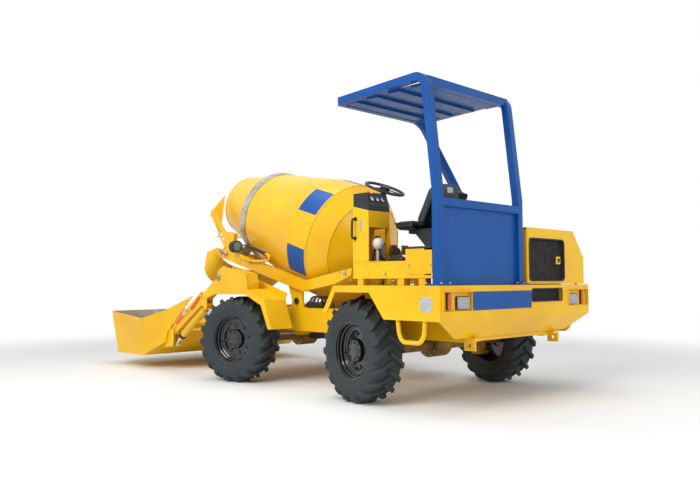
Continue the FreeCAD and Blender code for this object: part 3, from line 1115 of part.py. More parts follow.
def headlamp():
    """Round work lamp on a bracket on the left side beam."""
    radius, thick = size("lamp_r"), size("headlamp_t")
    body = Part.makeCone(radius * 0.55, radius, thick, Vector(size("lamp_x"), size("lamp_y"), size("lamp_z")),
                         Vector(1, 0, 0))
    out_y = size("vee_in") + size("vee_t") + 0.3
    bracket = Part.makeBox(40, 6, 150, Vector(size("lamp_x") + 5, out_y, size("lamp_z") - 165))
    return node(made("headlamp", body.fuse(bracket)), "headlamp")


def reservoir():
    """White fluid bottle on a stem in the footwell."""
    ball = doc.addObject("Part::Sphere", "bottle")
    bind(ball, "Radius", "reservoir_r")
    place(ball, "-reservoir_x", "reservoir_y", "reservoir_z")
    stem = post("bottle_stem", "-reservoir_x", "reservoir_y", "step_top", "reservoir_r / 4",
                "reservoir_z - step_top")
    cap = post("bottle_cap", "-reservoir_x", "reservoir_y", "reservoir_z + reservoir_r - 8", "reservoir_r / 2.4",
               "16")
    return node(fuse("reservoir", [ball, stem, cap]), "reservoir")


def side_tank():
    """Fuel and water tank on the right rail between the wheels."""
    tank = box("side_tank", "0", "0", "0", "tank_length", "tank_deep", "tank_high")
    return node(tank, "side_tank", "-tank_x", "-rail_y - tank_deep", "tank_low")


def valve_block():
    """Hydraulic valve block with a row of spools on the left rail."""
    parts = [box("valve_body", "valve_x", "rail_y - rail_w", "rail_top", "valve_length", "rail_w - 6",
                 "valve_high")]
    for k in range(4):
        parts.append(pin("valve_spool_%d" % k, "valve_x + valve_length * %g" % (0.14 + 0.24 * k), "rail_y - 8",
                         "rail_top + valve_high / 2", "9", "34"))
    return node(fuse("valve_block", parts), "valve_block")


BUILDERS = (chassis, rear_body, tail_lamps, engine, engine_hood, roll_frame, canopy, platform, console,
            instruments, handwheel, seat, access_steps, arms, lift_cylinders, tilt_cylinders, bucket,
            drum, drum_frame, drum_jack, gearmotor, rollers, hopper,
            chute, headlamp, reservoir, side_tank, valve_block, front_fender)
for build in BUILDERS:
    build()

doc.recompute()
for item in doc.Objects:
    if "Invalid" in item.State or "Error" in item.State:
        raise RuntimeError("%s failed: %s" % (item.Name, item.State))
for item in NODES:
    if item.Shape.isNull() or not item.Shape.isValid():
        raise RuntimeError("%s has no valid shape" % item.Label)
os.makedirs("parts", exist_ok=True)
for item in NODES:
    item.Shape.exportStep("parts/%s.step" % item.Label)
    print(item.Label, len(item.Shape.Solids), round(item.Shape.Volume / 1e6, 2))
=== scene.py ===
import json
import math

import bpy
from bpy.props import FloatProperty, IntProperty, PointerProperty, StringProperty
from mathutils import Matrix, Vector


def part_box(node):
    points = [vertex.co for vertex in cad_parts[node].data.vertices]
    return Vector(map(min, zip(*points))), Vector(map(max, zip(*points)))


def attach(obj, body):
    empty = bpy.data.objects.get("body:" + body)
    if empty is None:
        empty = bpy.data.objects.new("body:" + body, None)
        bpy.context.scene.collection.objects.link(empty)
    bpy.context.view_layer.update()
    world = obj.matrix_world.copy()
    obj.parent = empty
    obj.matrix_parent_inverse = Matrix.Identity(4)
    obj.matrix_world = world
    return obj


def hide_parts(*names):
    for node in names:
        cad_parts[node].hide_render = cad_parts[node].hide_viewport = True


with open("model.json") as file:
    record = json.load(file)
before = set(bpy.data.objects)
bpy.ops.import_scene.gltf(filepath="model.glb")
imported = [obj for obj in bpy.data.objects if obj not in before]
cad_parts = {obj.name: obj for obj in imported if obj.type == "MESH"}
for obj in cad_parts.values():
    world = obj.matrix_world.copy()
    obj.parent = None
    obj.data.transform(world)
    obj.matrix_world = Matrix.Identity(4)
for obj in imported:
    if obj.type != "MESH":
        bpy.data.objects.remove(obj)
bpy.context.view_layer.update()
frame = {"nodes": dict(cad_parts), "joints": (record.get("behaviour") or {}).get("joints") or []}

bl_info = {
    "name": "Self-loading concrete mixer",
    "version": (1, 0, 0),
    "blender": (4, 5, 0),
    "location": "View3D > Sidebar > Mixer",
    "description": "Tyres, lamps, plates, seat, fittings and finishes round the mixer's CAD parts",
    "category": "Object",
}

# Lengths are in metres. X runs forward to the loading bucket, Y to the machine's left, Z up.
# Places along the machine are given from the middle of the wheelbase, as in the part's source.
MIDDLE = sum((sum(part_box(node), Vector()) / 2 for node in ("front_axle", "rear_axle")), Vector()) / 2
SIDES = (1, -1)

# Faces that the fittings sit on: rear beam, hood, side of the body, side of console and platform, tops of
# deck and console. Then the axles, the drum frame's pivot, the arms' cylinders, outer faces and props.
REAR_X, HOOD_X, SIDE_Y, PANEL_Y = -1.67, -1.632, 0.98, 0.95
DECK_Z, CONSOLE_Z = 0.861, 1.5315
AXLE_X, AXLE_Z = 0.8265, 0.38
PIVOT_X, PIVOT_Z = 0.341, 0.719
CYLINDER_Y, ARM_OUT, PROP_OUT = 0.833, 0.866, 0.874


def at(x, y, z):
    """A point given from the middle of the wheelbase, in the model's own frame."""
    return Vector((x + MIDDLE.x, y, z))


def route(*points):
    """Several such points, as a pipe's route takes them."""
    return [at(*point) for point in points]


# Colours and finishes ------------

def tone(text):
    """An sRGB hex value as the linear colour a shader takes."""
    parts = [int(text[i:i + 2], 16) / 255 for i in (1, 3, 5)]
    return tuple(c / 12.92 if c <= 0.04045 else ((c + 0.055) / 1.055) ** 2.4 for c in parts) + (1.0,)


def per_metre(millimetres):
    """The texture scale that makes one grain that many millimetres across."""
    return 1000.0 / millimetres


def add(tree, kind, values=None, links=None, **settings):
    """Adds a shader node with its settings, its sockets' values and its links."""
    node = tree.nodes.new("ShaderNode" + kind)
    for key, value in settings.items():
        setattr(node, key, value)
    for key, value in (values or {}).items():
        node.inputs[key].default_value = value
    for key, output in (links or {}).items():
        tree.links.new(output, node.inputs[key])
    return node


def start_finish(name, **shader):
    """A new material with a principled shader, and the object coordinates its patterns read."""
    made = bpy.data.materials.new(name)
    made.use_nodes = True
    tree = made.node_tree
    tree.nodes.clear()
    body = add(tree, "BsdfPrincipled", shader)
    output = add(tree, "OutputMaterial", links={"Surface": body.outputs["BSDF"]})
    output.is_active_output = True
    place = add(tree, "TexCoord").outputs["Object"]
    return made, tree, body, place


def patches_of(tree, place, size_mm, detail=3.0, stretch=None, ramp=(0.35, 0.65)):
    """A soft 0 to 1 pattern whose patches have that size."""
    source = place
    if stretch:
        source = add(tree, "Mapping", {"Scale": stretch}, {"Vector": place}).outputs["Vector"]
    noise = add(tree, "TexNoise", {"Scale": per_metre(size_mm), "Detail": detail}, {"Vector": source})
    return add(tree, "MapRange", {"From Min": ramp[0], "From Max": ramp[1]},
        {"Value": noise.outputs["Fac"]}, interpolation_type="SMOOTHSTEP").outputs["Result"]


def mixed(tree, factor, first, second):
    """One colour going into another by a factor."""
    node = add(tree, "Mix", data_type="RGBA")
    tree.links.new(factor, node.inputs["Factor"])
    for slot, colour in ((6, first), (7, second)):
        if hasattr(colour, "links"):
            tree.links.new(colour, node.inputs[slot])
        else:
            node.inputs[slot].default_value = tone(colour)
    return node.outputs[2]


def spread(tree, factor, low, high):
    """A roughness that goes from low to high by a factor."""
    return add(tree, "MapRange", {"To Min": low, "To Max": high}, {"Value": factor}).outputs["Result"]


def edge_of(tree, radius):
    """The rounded normal of a sharp edge, and a mask that is 1 close to it."""
    rounded = add(tree, "Bevel", {"Radius": radius}, samples=4).outputs["Normal"]
    flat = add(tree, "NewGeometry").outputs["Normal"]
    dot = add(tree, "VectorMath", operation="DOT_PRODUCT")
    tree.links.new(rounded, dot.inputs[0])
    tree.links.new(flat, dot.inputs[1])
    mask = add(tree, "MapRange", {"From Min": 0.99, "From Max": 0.72}, {"Value": dot.outputs["Value"]})
    return rounded, mask.outputs["Result"]


def enamel(name, base, faded, chipped, rough=0.3, coat=0.35, wear=0.3, film_mm=9.0, **more):
    """Sprayed enamel on steel sheet: a glossy film with faint orange peel, broad fading and rubbed edges."""
    made, tree, body, place = start_finish(name, **{"Coat Weight": coat, "Coat Roughness": 0.12, **more})
    rounded, edge = edge_of(tree, 0.004)
    broad = patches_of(tree, place, 420.0)
    fine = patches_of(tree, place, 38.0, 5.0, ramp=(0.45, 0.8))
    colour = mixed(tree, broad, base, faded)
    rub = add(tree, "Math", {1: wear}, operation="MULTIPLY")
    both = add(tree, "Math", operation="MULTIPLY")
    tree.links.new(edge, both.inputs[0])
    tree.links.new(fine, both.inputs[1])
    tree.links.new(both.outputs[0], rub.inputs[0])
    tree.links.new(mixed(tree, rub.outputs[0], colour, chipped), body.inputs["Base Color"])
    tree.links.new(spread(tree, fine, rough, rough + 0.14), body.inputs["Roughness"])
    peel = add(tree, "TexNoise", {"Scale": per_metre(film_mm), "Detail": 1.0}, {"Vector": place})
    bump = add(tree, "Bump", {"Strength": 0.06, "Distance": 0.0006},
        {"Height": peel.outputs["Fac"], "Normal": rounded})
    tree.links.new(bump.outputs["Normal"], body.inputs["Normal"])
    return made


def grained(name, base, other, patch_mm, grain_mm, depth, rough, worn=0.1, cells=False, **more):
    """Rubber, plastic, vinyl or cast metal: a mottled colour with a moulded or cast grain."""
    made, tree, body, place = start_finish(name, **more)
    mottle = patches_of(tree, place, patch_mm, 4.0)
    tree.links.new(mixed(tree, mottle, base, other), body.inputs["Base Color"])
    tree.links.new(spread(tree, mottle, rough, rough + worn), body.inputs["Roughness"])
    if cells:
        grain = add(tree, "TexVoronoi", {"Scale": per_metre(grain_mm)}, {"Vector": place},
            feature="DISTANCE_TO_EDGE").outputs["Distance"]
        grain = add(tree, "MapRange", {"From Max": 0.18}, {"Value": grain}).outputs["Result"]
    else:
        grain = add(tree, "TexNoise", {"Scale": per_metre(grain_mm), "Detail": 4.0},
            {"Vector": place}).outputs["Fac"]
    bump = add(tree, "Bump", {"Strength": 0.5, "Distance": depth}, {"Height": grain})
    tree.links.new(bump.outputs["Normal"], body.inputs["Normal"])
    return made


def metal(name, base, other, rough, streak, streak_mm=2.5, worn=0.15):
    """Bare metal: streaks along the way it was turned, rolled or ground, with duller patches."""
    made, tree, body, place = start_finish(name, Metallic=1.0)
    dull = patches_of(tree, place, 60.0, 4.0)
    lines = patches_of(tree, place, streak_mm, 2.0, streak, (0.3, 0.7))
    tree.links.new(mixed(tree, dull, base, other), body.inputs["Base Color"])
    both = add(tree, "Math", {1: 0.5}, operation="MULTIPLY_ADD")
    tree.links.new(lines, both.inputs[0])
    tree.links.new(dull, both.inputs[2])
    tree.links.new(spread(tree, both.outputs[0], rough, rough + worn), body.inputs["Roughness"])
    bump = add(tree, "Bump", {"Strength": 0.15, "Distance": 0.0002}, {"Height": lines})
    tree.links.new(bump.outputs["Normal"], body.inputs["Normal"])
    return made


def moulding_steel(name, base, mortar, rust):
    """Scoured plate inside the bucket: a pale colour that is partly painted glare and partly a cement film
    over worn steel, with thin rust at the scratches.
    """
    made, tree, body, place = start_finish(name, Roughness=0.7)
    film = patches_of(tree, place, 180.0, 6.0, ramp=(0.38, 0.6))
    scratch = patches_of(tree, place, 12.0, 4.0, (0.12, 1.0, 1.0), (0.58, 0.72))
    tree.links.new(mixed(tree, scratch, mixed(tree, film, base, mortar), rust), body.inputs["Base Color"])
    bump = add(tree, "Bump", {"Strength": 0.3, "Distance": 0.001}, {"Height": film})
    tree.links.new(bump.outputs["Normal"], body.inputs["Normal"])
    return made


def make_finishes(colours):
    """Every finish by name. A mild tone shift carries the fading that sun gives each paint."""
    yellow, blue = colours.yellow, colours.blue
    return {
        # Two-pack enamel, sprayed: deep chrome yellow, glossy, slightly orange where it is thick.
        "yellow enamel": enamel("chrome_yellow_enamel", yellow, "#EDB40F", "#B98A1C", 0.32, 0.15, 0.3,
                                **{"Specular IOR Level": 0.3}),
        # The same enamel under the machine, darkened as painted shade and mottled by oil and dust.
        "oily enamel with painted shade": enamel("oily_yellow_enamel_painted_shade", "#B98A1E", "#7F5C22", "#55412A", 0.45, 0.1, 0.6),
        # Powder coat on the roll frame: saturated blue, satin.
        "blue powder coat": enamel("blue_powder_coat", blue, "#0A4C96", "#1E5CA6", 0.38, 0.05, 0.35,
                                   **{"Specular IOR Level": 0.25}),
        # Self-adhesive vinyl on the drum: the same blue, brighter and smoother.
        "blue vinyl": enamel("blue_vinyl_film", "#0C52A4", "#0B4C9A", "#2C6FB4", 0.34, 0.05, 0.2, 20.0,
                              **{"Specular IOR Level": 0.3}),
        # Natural rubber with carbon black: blue-grey bloom, matt, a moulded grain.
        "tyre rubber": grained("tyre_rubber", "#262E31", "#30393C", 90.0, 5.0, 0.0012, 0.66, 0.16),
        # Stoved black enamel on the wheels: near mirror gloss.
        "rim enamel": enamel("gloss_black_enamel", "#0A0B0D", "#101215", "#25282B", 0.12, 0.6, 0.2),
        # Machined and polished by the rollers: bright, with fine turning lines.
        "rolled steel": metal("rolled_bright_steel", "#C9C8C2", "#A3A29C", 0.22, (1.0, 0.08, 0.08)),
        # Zinc plated fasteners: pale grey, faintly dull.
        "zinc": metal("zinc_plated_steel", "#B4B6B4", "#93938E", 0.34, (1.0, 1.0, 1.0), 4.0),
        # Hard chromed cylinder rods: mirror bright.
        "chrome": metal("hard_chrome", "#E4E5E8", "#D2D4D8", 0.06, (0.1, 1.0, 1.0), 3.0, 0.06),
        # Sand cast iron: dark, coarse skin with oil.
        "cast iron": grained("sand_cast_iron", "#3A3430", "#241F1C", 40.0, 6.0, 0.0015, 0.55, 0.2),
        # Calendered vinyl over foam: black leather grain with a soft sheen.
        "seat vinyl": grained("black_seat_vinyl", "#1C1E1F", "#26292A", 60.0, 5.0, 0.0006, 0.4, 0.12, True),
        # Moulded ABS: black with a spark-eroded texture, drawn coarser than life so that it shows.
        "black plastic": grained("black_abs", "#17191B", "#202326", 50.0, 4.0, 0.0004, 0.42, 0.14),
        # Hose cover: black nitrile rubber, smooth and slightly dusty.
        "hose rubber": grained("hose_rubber", "#141617", "#22262A", 30.0, 3.0, 0.0003, 0.5, 0.15),
        # Blow-moulded polyethylene: waxy white.
        "white plastic": grained("white_polyethylene", "#EFEBDD", "#E3DDC9", 30.0, 8.0, 0.0003, 0.35, 0.1),
        # Brushed aluminium plate: pale grey with fine lines.
        "plate": metal("brushed_aluminium", "#C9CED2", "#B7BCC1", 0.36, (1.0, 0.06, 1.0)),
        # Woven wire painted black.
        "screen wire": grained("black_screen_wire", "#16181B", "#24282C", 20.0, 4.0, 0.0002, 0.5, 0.2),
        # Retro-reflective tape: bright orange red, glossy.
        "reflector": grained("orange_reflector", "#E4511B", "#D6430F", 20.0, 4.0, 0.0002, 0.2, 0.1),
        # Amber acrylic lens: clear body colour over ribs.
        "amber lens": grained("amber_acrylic", "#E8751A", "#D9600E", 15.0, 8.0, 0.0002, 0.12, 0.05,
                              **{"Transmission Weight": 0.25, "IOR": 1.49, "Coat Weight": 0.5}),
        # Clear acrylic lens whose pale colour is a painted reflection of the bright reflector behind it.
        "clear lens": grained("clear_acrylic_painted_reflection", "#E9EDEF", "#D5DBDF", 12.0, 6.0, 0.0004, 0.06, 0.05,
                              **{"Transmission Weight": 0.55, "IOR": 1.49, "Coat Weight": 0.6}),
        # Tempered glass over a dark reflector; its blue grey base colour is a painted reflection.
        "lamp glass": grained("tempered_lamp_glass_painted_reflection", "#7E959E", "#6B838D", 25.0, 6.0, 0.0002, 0.1, 0.05,
                              **{"Coat Weight": 0.5}),
        # Gravel-scoured plate with a dry cement film; its pale beige is partly painted glare.
        "scoured plate with painted glare": moulding_steel("scoured_bucket_plate_painted_glare", "#E6D8AC", "#D8C99C", "#B48F5A"),
        # Needled floor mat: matt black rubber with fine studs.
        "mat": grained("rubber_mat", "#1A1B1B", "#242626", 30.0, 9.0, 0.001, 0.75, 0.1, True),
    }


FINISH = {}
SLOT = {"yellow enamel": "yellow", "oily enamel with painted shade": "yellow", "scoured plate with painted glare": "yellow",
    "blue powder coat": "blue", "blue vinyl": "blue", "black plastic": "black", "hose rubber": "black",
    "mat": "black", "cast iron": "dark", "screen wire": "dark", "white plastic": "white",
    "tyre rubber": "tyre", "rim enamel": "rim_black", "seat vinyl": "seat", "rolled steel": "steel",
    "chrome": "chrome",}
# The axles and knuckles take the yellow enamel darkened with painted shade and oil mottling.
NODE_FINISH = {"oily enamel with painted shade": ("front_axle", "rear_axle", "knuckle_"), "tyre rubber": ("tyre_",),
    "rim enamel": ("rim_",), "blue powder coat": ("roll_frame", "canopy"),
    "cast iron": ("engine_block", "radiator", "gearmotor", "valve_block"),
    "rolled steel": ("drum_ring", "drum_rollers"), "chrome": ("lift_rods", "tilt_rods", "jack_rod"),
    "black plastic": ("instrument_box", "handwheel", "seat_base"),
    "seat vinyl": ("seat_cushion", "seat_back"), "white plastic": ("reservoir",),
    "amber lens": ("tail_lamps",),}


# Modelling helpers ------------

def nothing_selected():
    if bpy.context.object and bpy.context.object.mode != "OBJECT":
        bpy.ops.object.mode_set(mode="OBJECT")
    bpy.ops.object.select_all(action="DESELECT")


def only(*pieces):
    """Selects just these pieces, the first one active."""
    nothing_selected()
    for piece in pieces:
        piece.select_set(True)
    bpy.context.view_layer.objects.active = pieces[0]


def set_down(piece):
    """Puts the piece's place into its mesh, so that its object sits at the origin."""
    only(piece)
    bpy.ops.object.transform_apply(location=True, rotation=True, scale=True)
    return piece


def join(*pieces):
    only(*pieces)
    if len(pieces) > 1:
        bpy.ops.object.join()
    return pieces[0]


def edit(piece, action="SELECT"):
    """Opens the piece's mesh for editing with all of it selected, or none."""
    only(piece)
    bpy.ops.object.mode_set(mode="EDIT")
    bpy.ops.mesh.select_all(action=action)


def edited(piece):
    """Closes the mesh again."""
    bpy.ops.object.mode_set(mode="OBJECT")
    return piece


def facing(piece):
    """Merges doubles and turns every face outwards."""
    edit(piece)
    bpy.ops.mesh.remove_doubles(threshold=0.00002)
    bpy.ops.mesh.normals_make_consistent(inside=False)
    return edited(piece)


def soften(piece, width, segments=2):
    """Rounds every sharp edge by that width."""
    edit(piece, "DESELECT")
    bpy.ops.mesh.select_mode(type="EDGE")
    bpy.ops.mesh.edges_select_sharp(sharpness=math.radians(35))
    bpy.ops.mesh.bevel(offset=width, segments=segments)
    return edited(piece)


def block(low, high, round_by=0.002):
    """A block between two corners with rounded edges."""
    nothing_selected()
    low, high = Vector(low), Vector(high)
    bpy.ops.mesh.primitive_cube_add(size=1, location=(low + high) / 2)
    piece = bpy.context.object
    piece.scale = high - low
    return soften(set_down(piece), round_by)


def along(start, end):
    """The turn that takes +Z to the way from start to end, placed at start."""
    start, end = Vector(start), Vector(end)
    return Matrix.Translation(start) @ (end - start).to_track_quat("Z", "Y").to_matrix().to_4x4()


def rod(start, end, radius, round_by=0.002, sides=28):
    """A round bar between two points with rounded ends."""
    nothing_selected()
    length = (Vector(end) - Vector(start)).length
    bpy.ops.mesh.primitive_cone_add(vertices=sides, radius1=radius, radius2=radius, depth=length,
        location=(0, 0, length / 2))
    piece = set_down(bpy.context.object)
    if round_by:
        soften(piece, round_by)
    piece.matrix_world = along(start, end)
    return set_down(piece)


def new_piece(data):
    """A mesh or curve as an object in the scene."""
    piece = bpy.data.objects.new(data.name, data)
    bpy.context.scene.collection.objects.link(piece)
    return piece


def meshed(points, faces):
    """A mesh from its corners and faces."""
    mesh = bpy.data.meshes.new("mesh")
    mesh.from_pydata(points, [], faces)
    return new_piece(mesh)


def modified(piece, kind, **settings):
    """Applies one modifier with its settings."""
    only(piece)
    modifier = piece.modifiers.new("step", kind)
    for key, value in settings.items():
        setattr(modifier, key, value)
    bpy.ops.object.modifier_apply(modifier=modifier.name)
    return piece


def walled(piece, thickness, offset=-1.0):
    """Gives a sheet of faces its thickness."""
    return modified(piece, "SOLIDIFY", thickness=thickness, offset=offset)


def band(inner, outer, middle, half):
    """The section of a flat ring, as (radius, height), to spin."""
    return [(inner, middle - half), (outer, middle - half), (outer, middle + half), (inner, middle + half)]


def line_through(kind, points, closed, **curve):
    """A curve through points, made into a mesh. The keywords are the curve's own settings."""
    data = bpy.data.curves.new("line", "CURVE")
    data.dimensions = "3D"
    for key, value in curve.items():
        setattr(data, key, value)
    spline = data.splines.new(kind)
    spline.points.add(len(points) - 1)
    for target, point in zip(spline.points, points):
        target.co = (*point, 1.0)
    spline.use_cyclic_u = closed
    if kind == "NURBS":
        spline.order_u, spline.use_endpoint_u, spline.resolution_u = 3, not closed, 8
    only(new_piece(data))
    bpy.ops.object.convert(target="MESH")
    return bpy.context.object


def drawn(points, closed):
    """A line through points, as a mesh of loose edges to spin or extrude."""
    return line_through("POLY", points, closed)


def spun(profile, place, steps=64, closed=True, turn=2 * math.pi):
    """A turned shape: a profile of (radius, height) spun round +Z and set at a place."""
    piece = drawn([(r, 0.0, z) for r, z in profile], closed)
    edit(piece)
    bpy.ops.mesh.spin(steps=steps, angle=turn, center=(0, 0, 0), axis=(0, 0, 1))
    facing(edited(piece))
    piece.matrix_world = place
    return set_down(piece)


def pipe(points, radius, closed=False):
    """A round pipe along a smooth run of points."""
    return line_through("NURBS", points, closed, bevel_depth=radius, bevel_resolution=4, use_fill_caps=True)


def rounded(width, height, radius, steps=5):
    """The outline of a rectangle with round corners, about its middle."""
    outline = []
    for quarter in range(4):
        sx, sy = ((1, 1), (-1, 1), (-1, -1), (1, -1))[quarter]
        cx, cy = sx * (width / 2 - radius), sy * (height / 2 - radius)
        for k in range(steps + 1):
            angle = math.radians(90 * quarter + 90 * k / steps)
            outline.append((cx + radius * math.cos(angle), cy + radius * math.sin(angle)))
    return outline


def plate(outline, thickness, place, round_by=0.0006):
    """A flat plate cut to an outline in its own XY plane, thickened upwards along its +Z."""
    piece = drawn([(x, y, 0.0) for x, y in outline], True)
    edit(piece)
    bpy.ops.mesh.edge_face_add()
    bpy.ops.mesh.extrude_region_move(TRANSFORM_OT_translate={"value": (0, 0, thickness)})
    soften(facing(edited(piece)), round_by, 1)
    piece.matrix_world = place
    return set_down(piece)


def twin(piece, place):
    """A second such piece, at a place."""
    other = piece.copy()
    other.data = piece.data.copy()
    bpy.context.scene.collection.objects.link(other)
    other.matrix_world = place
    return other


def copies(piece, places):
    """The piece once at each place, as one mesh."""
    made = [set_down(twin(piece, place)) for place in places]
    bpy.data.objects.remove(piece)
    return join(*made)


def circle(count, radius, height, start=0.0):
    """Points round +Z at that radius and height, the first one at the start angle in degrees."""
    angles = [math.radians(360 / count * k + start) for k in range(count)]
    return [Vector((radius * math.cos(a), radius * math.sin(a), height)) for a in angles]


def bolts(places, across=0.019, washer=True):
    """Hexagon bolt heads on washers. Each place is a point on the surface and the way out of it."""
    head = rod((0, 0, 0.0015), (0, 0, 0.0015 + across * 0.42), across * 0.56, across * 0.05, 6)
    if washer:
        head = join(head, rod((0, 0, 0), (0, 0, 0.002), across * 0.75, 0.0005, 20))
    return copies(head, [along(point, Vector(point) + Vector(way)) for point, way in places])


def finished(piece, name, body, finish, slot=None, smooth=32):
    """Joins the pieces under one name, gives them their finish and sets them on their body."""
    piece = join(*piece) if isinstance(piece, (list, tuple)) else piece
    set_down(piece)
    piece.name = name
    piece.data.name = name
    bpy.ops.object.shade_smooth_by_angle(angle=math.radians(smooth))
    piece.data.materials.clear()
    piece.data.materials.append(FINISH[finish])
    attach(piece, body)
    slot = slot or SLOT.get(finish)
    return piece


def turned_to(x_way, y_way, origin):
    """A place whose own X and Y point those ways."""
    x_way, y_way = Vector(x_way).normalized(), Vector(y_way).normalized()
    basis = Matrix((x_way, y_way, x_way.cross(y_way))).transposed()
    return Matrix.Translation(Vector(origin)) @ basis.to_4x4()


def rear_place(y, z, out=0.0, x=REAR_X):
    """A place on the rear beam, its own X to the machine's right and its Y up."""
    return turned_to((0, -1, 0), (0, 0, 1), at(x - out, y, z))


def left_place(x, z, y, out=0.0):
    """A place on a left-hand face, its own X to the machine's rear and its Y up."""
    return turned_to((-1, 0, 0), (0, 0, 1), at(x, y + out, z))


# Sizes and colours a user can change ------------

class MixerSizes(bpy.types.PropertyGroup):
    lug_count: IntProperty(name="Lugs a side", description="Tread bars on each side of a tyre", default=19,
        min=12, max=28)
    rim_radius: FloatProperty(name="Rim radius", description="Radius over the rim's flange", default=0.216,
        unit="LENGTH")
    patch_count: IntProperty(name="Drum squares", description="Blue squares round the drum's belt",
        default=6, min=1)
    patch_turn: FloatProperty(name="Square's width",
        description="Angle that a blue square covers on the drum", default=math.radians(27),
        subtype="ANGLE")
    wire_pitch: FloatProperty(name="Screen pitch", description="Spacing of the wires in the grille",
        default=0.011, unit="LENGTH")
    piping: FloatProperty(name="Seat piping", description="Radius of the seat's edge piping",
        default=0.004, unit="LENGTH")
    bolt_across: FloatProperty(name="Bolt size", description="Width across a large bolt's head",
        default=0.024, unit="LENGTH")


class MixerColours(bpy.types.PropertyGroup):
    yellow: StringProperty(name="Yellow", description="Main paint, as an sRGB hex value", default="#F4C010")
    blue: StringProperty(name="Blue", description="Roll frame paint, as an sRGB hex value",
        default="#10529C")
    floor: StringProperty(name="Floor", description="Studio floor, as an sRGB hex value", default="#F4F4F2")


class PieceMaker:
    """What every operator of this add-on shares: it makes its pieces, or raises what went wrong."""
    bl_options = {"REGISTER", "UNDO"}

    def execute(self, context):
        scene = context.scene
        self.make(scene.mixer_sizes, scene.mixer_colours)
        return {"FINISHED"}


# Studio ------------

CAMERA_AT = (-4.5566, 4.5702, 0.8891)
CAMERA_YAW, CAMERA_PITCH, CAMERA_ROLL = math.radians(-44.0), math.radians(3.0), math.radians(-0.21)
CAMERA_LENS, CAMERA_SENSOR = 36.461, 36.0
LAMPS = (("key_lamp", (-1.5, 7.5, 6.5), (0.0, 0.0, 0.9), 5.0, 560.0),
    ("rear_lamp", (-8.5, -1.0, 3.8), (-1.0, 0.0, 0.9), 4.0, 200.0),
    ("top_lamp", (0.5, 0.5, 7.5), (0.2, 0.0, 0.9), 5.0, 200.0))


class MIXER_OT_stage(PieceMaker, bpy.types.Operator):
    """Floor, soft lamps, world and camera"""
    bl_idname = "mixer.stage"
    bl_label = "Studio"

    def make(self, sizes, colours):
        nothing_selected()
        bpy.ops.mesh.primitive_grid_add(x_subdivisions=8, y_subdivisions=8, size=60)
        floor = bpy.context.object
        floor.name = "studio_floor"
        made, tree, body, place = start_finish("matt_studio_floor", Roughness=0.9)
        body.inputs["Base Color"].default_value = tone(colours.floor)
        body.inputs["Specular IOR Level"].default_value = 0.1
        distance = add(tree, "VectorMath", links={0: place}, operation="LENGTH").outputs["Value"]
        far = add(tree, "MapRange", {"From Min": 3.4, "From Max": 7.0}, {"Value": distance},
            interpolation_type="SMOOTHSTEP").outputs["Result"]
        seen = self.seen_rays(tree)
        both = add(tree, "Math", links={0: far, 1: seen}, operation="MULTIPLY").outputs[0]
        glow = add(tree, "Emission", {"Color": (1, 1, 1, 1), "Strength": 1.0}).outputs[0]
        blend = add(tree, "MixShader", links={0: both, 1: body.outputs[0], 2: glow})
        output = next(n for n in tree.nodes if n.type == "OUTPUT_MATERIAL")
        tree.links.new(blend.outputs[0], output.inputs["Surface"])
        floor.data.materials.append(made)
        self.light_world()
        for name, spot, aim, size, power in LAMPS:
            bpy.ops.object.light_add(type="AREA", location=at(*spot))
            lamp = bpy.context.object
            lamp.name = name
            lamp.data.size, lamp.data.energy = size, power
            lamp.rotation_euler = (at(*aim) - at(*spot)).to_track_quat("-Z", "Y").to_euler()
        self.set_camera()
        bpy.context.scene.view_settings.view_transform = "Standard"

    def seen_rays(self, tree):
        """1 for the rays that show the background: to the camera, in a reflection or through glass."""
        path = add(tree, "LightPath").outputs
        direct = add(tree, "Math", links={0: path["Is Camera Ray"], 1: path["Is Transmission Ray"]},
            operation="MAXIMUM").outputs[0]
        return add(tree, "Math", links={0: direct, 1: path["Is Glossy Ray"]},
            operation="MAXIMUM").outputs[0]

    def light_world(self):
        world = bpy.data.worlds.new("studio_world")
        bpy.context.scene.world = world
        world.use_nodes = True
        tree = world.node_tree
        tree.nodes.clear()
        shown = self.seen_rays(tree)
        room = add(tree, "Background", {"Color": (0.93, 0.96, 1.0, 1.0), "Strength": 0.4})
        white = add(tree, "Background", {"Color": (1, 1, 1, 1), "Strength": 1.0})
        blend = add(tree, "MixShader", links={0: shown, 1: room.outputs[0], 2: white.outputs[0]})
        add(tree, "OutputWorld", links={"Surface": blend.outputs[0]})

    def set_camera(self):
        bpy.ops.object.camera_add(location=at(*CAMERA_AT))
        camera = bpy.context.object
        ahead = Vector((math.cos(CAMERA_YAW) * math.cos(CAMERA_PITCH),
            math.sin(CAMERA_YAW) * math.cos(CAMERA_PITCH), math.sin(CAMERA_PITCH)))
        side = Vector((math.sin(CAMERA_YAW), -math.cos(CAMERA_YAW), 0))
        over = side.cross(ahead)
        right = side * math.cos(CAMERA_ROLL) + over * math.sin(CAMERA_ROLL)
        up = over * math.cos(CAMERA_ROLL) - side * math.sin(CAMERA_ROLL)
        camera.rotation_euler = Matrix((right, up, -ahead)).transposed().to_euler()
        camera.data.lens, camera.data.sensor_width = CAMERA_LENS, CAMERA_SENSOR
        bpy.context.scene.camera = camera


class MIXER_OT_finishes(PieceMaker, bpy.types.Operator):
    """Paints, rubbers and metals, and the finish of every CAD part"""
    bl_idname = "mixer.finishes"
    bl_label = "Finishes"

    def make(self, sizes, colours):
        FINISH.update(make_finishes(colours))
        for name, node in frame["nodes"].items():
            wanted = next((finish for finish, starts in NODE_FINISH.items() if name.startswith(starts)),
                "yellow enamel")
            node.data.materials.clear()
            node.data.materials.append(FINISH[wanted])


# Wheels ------------

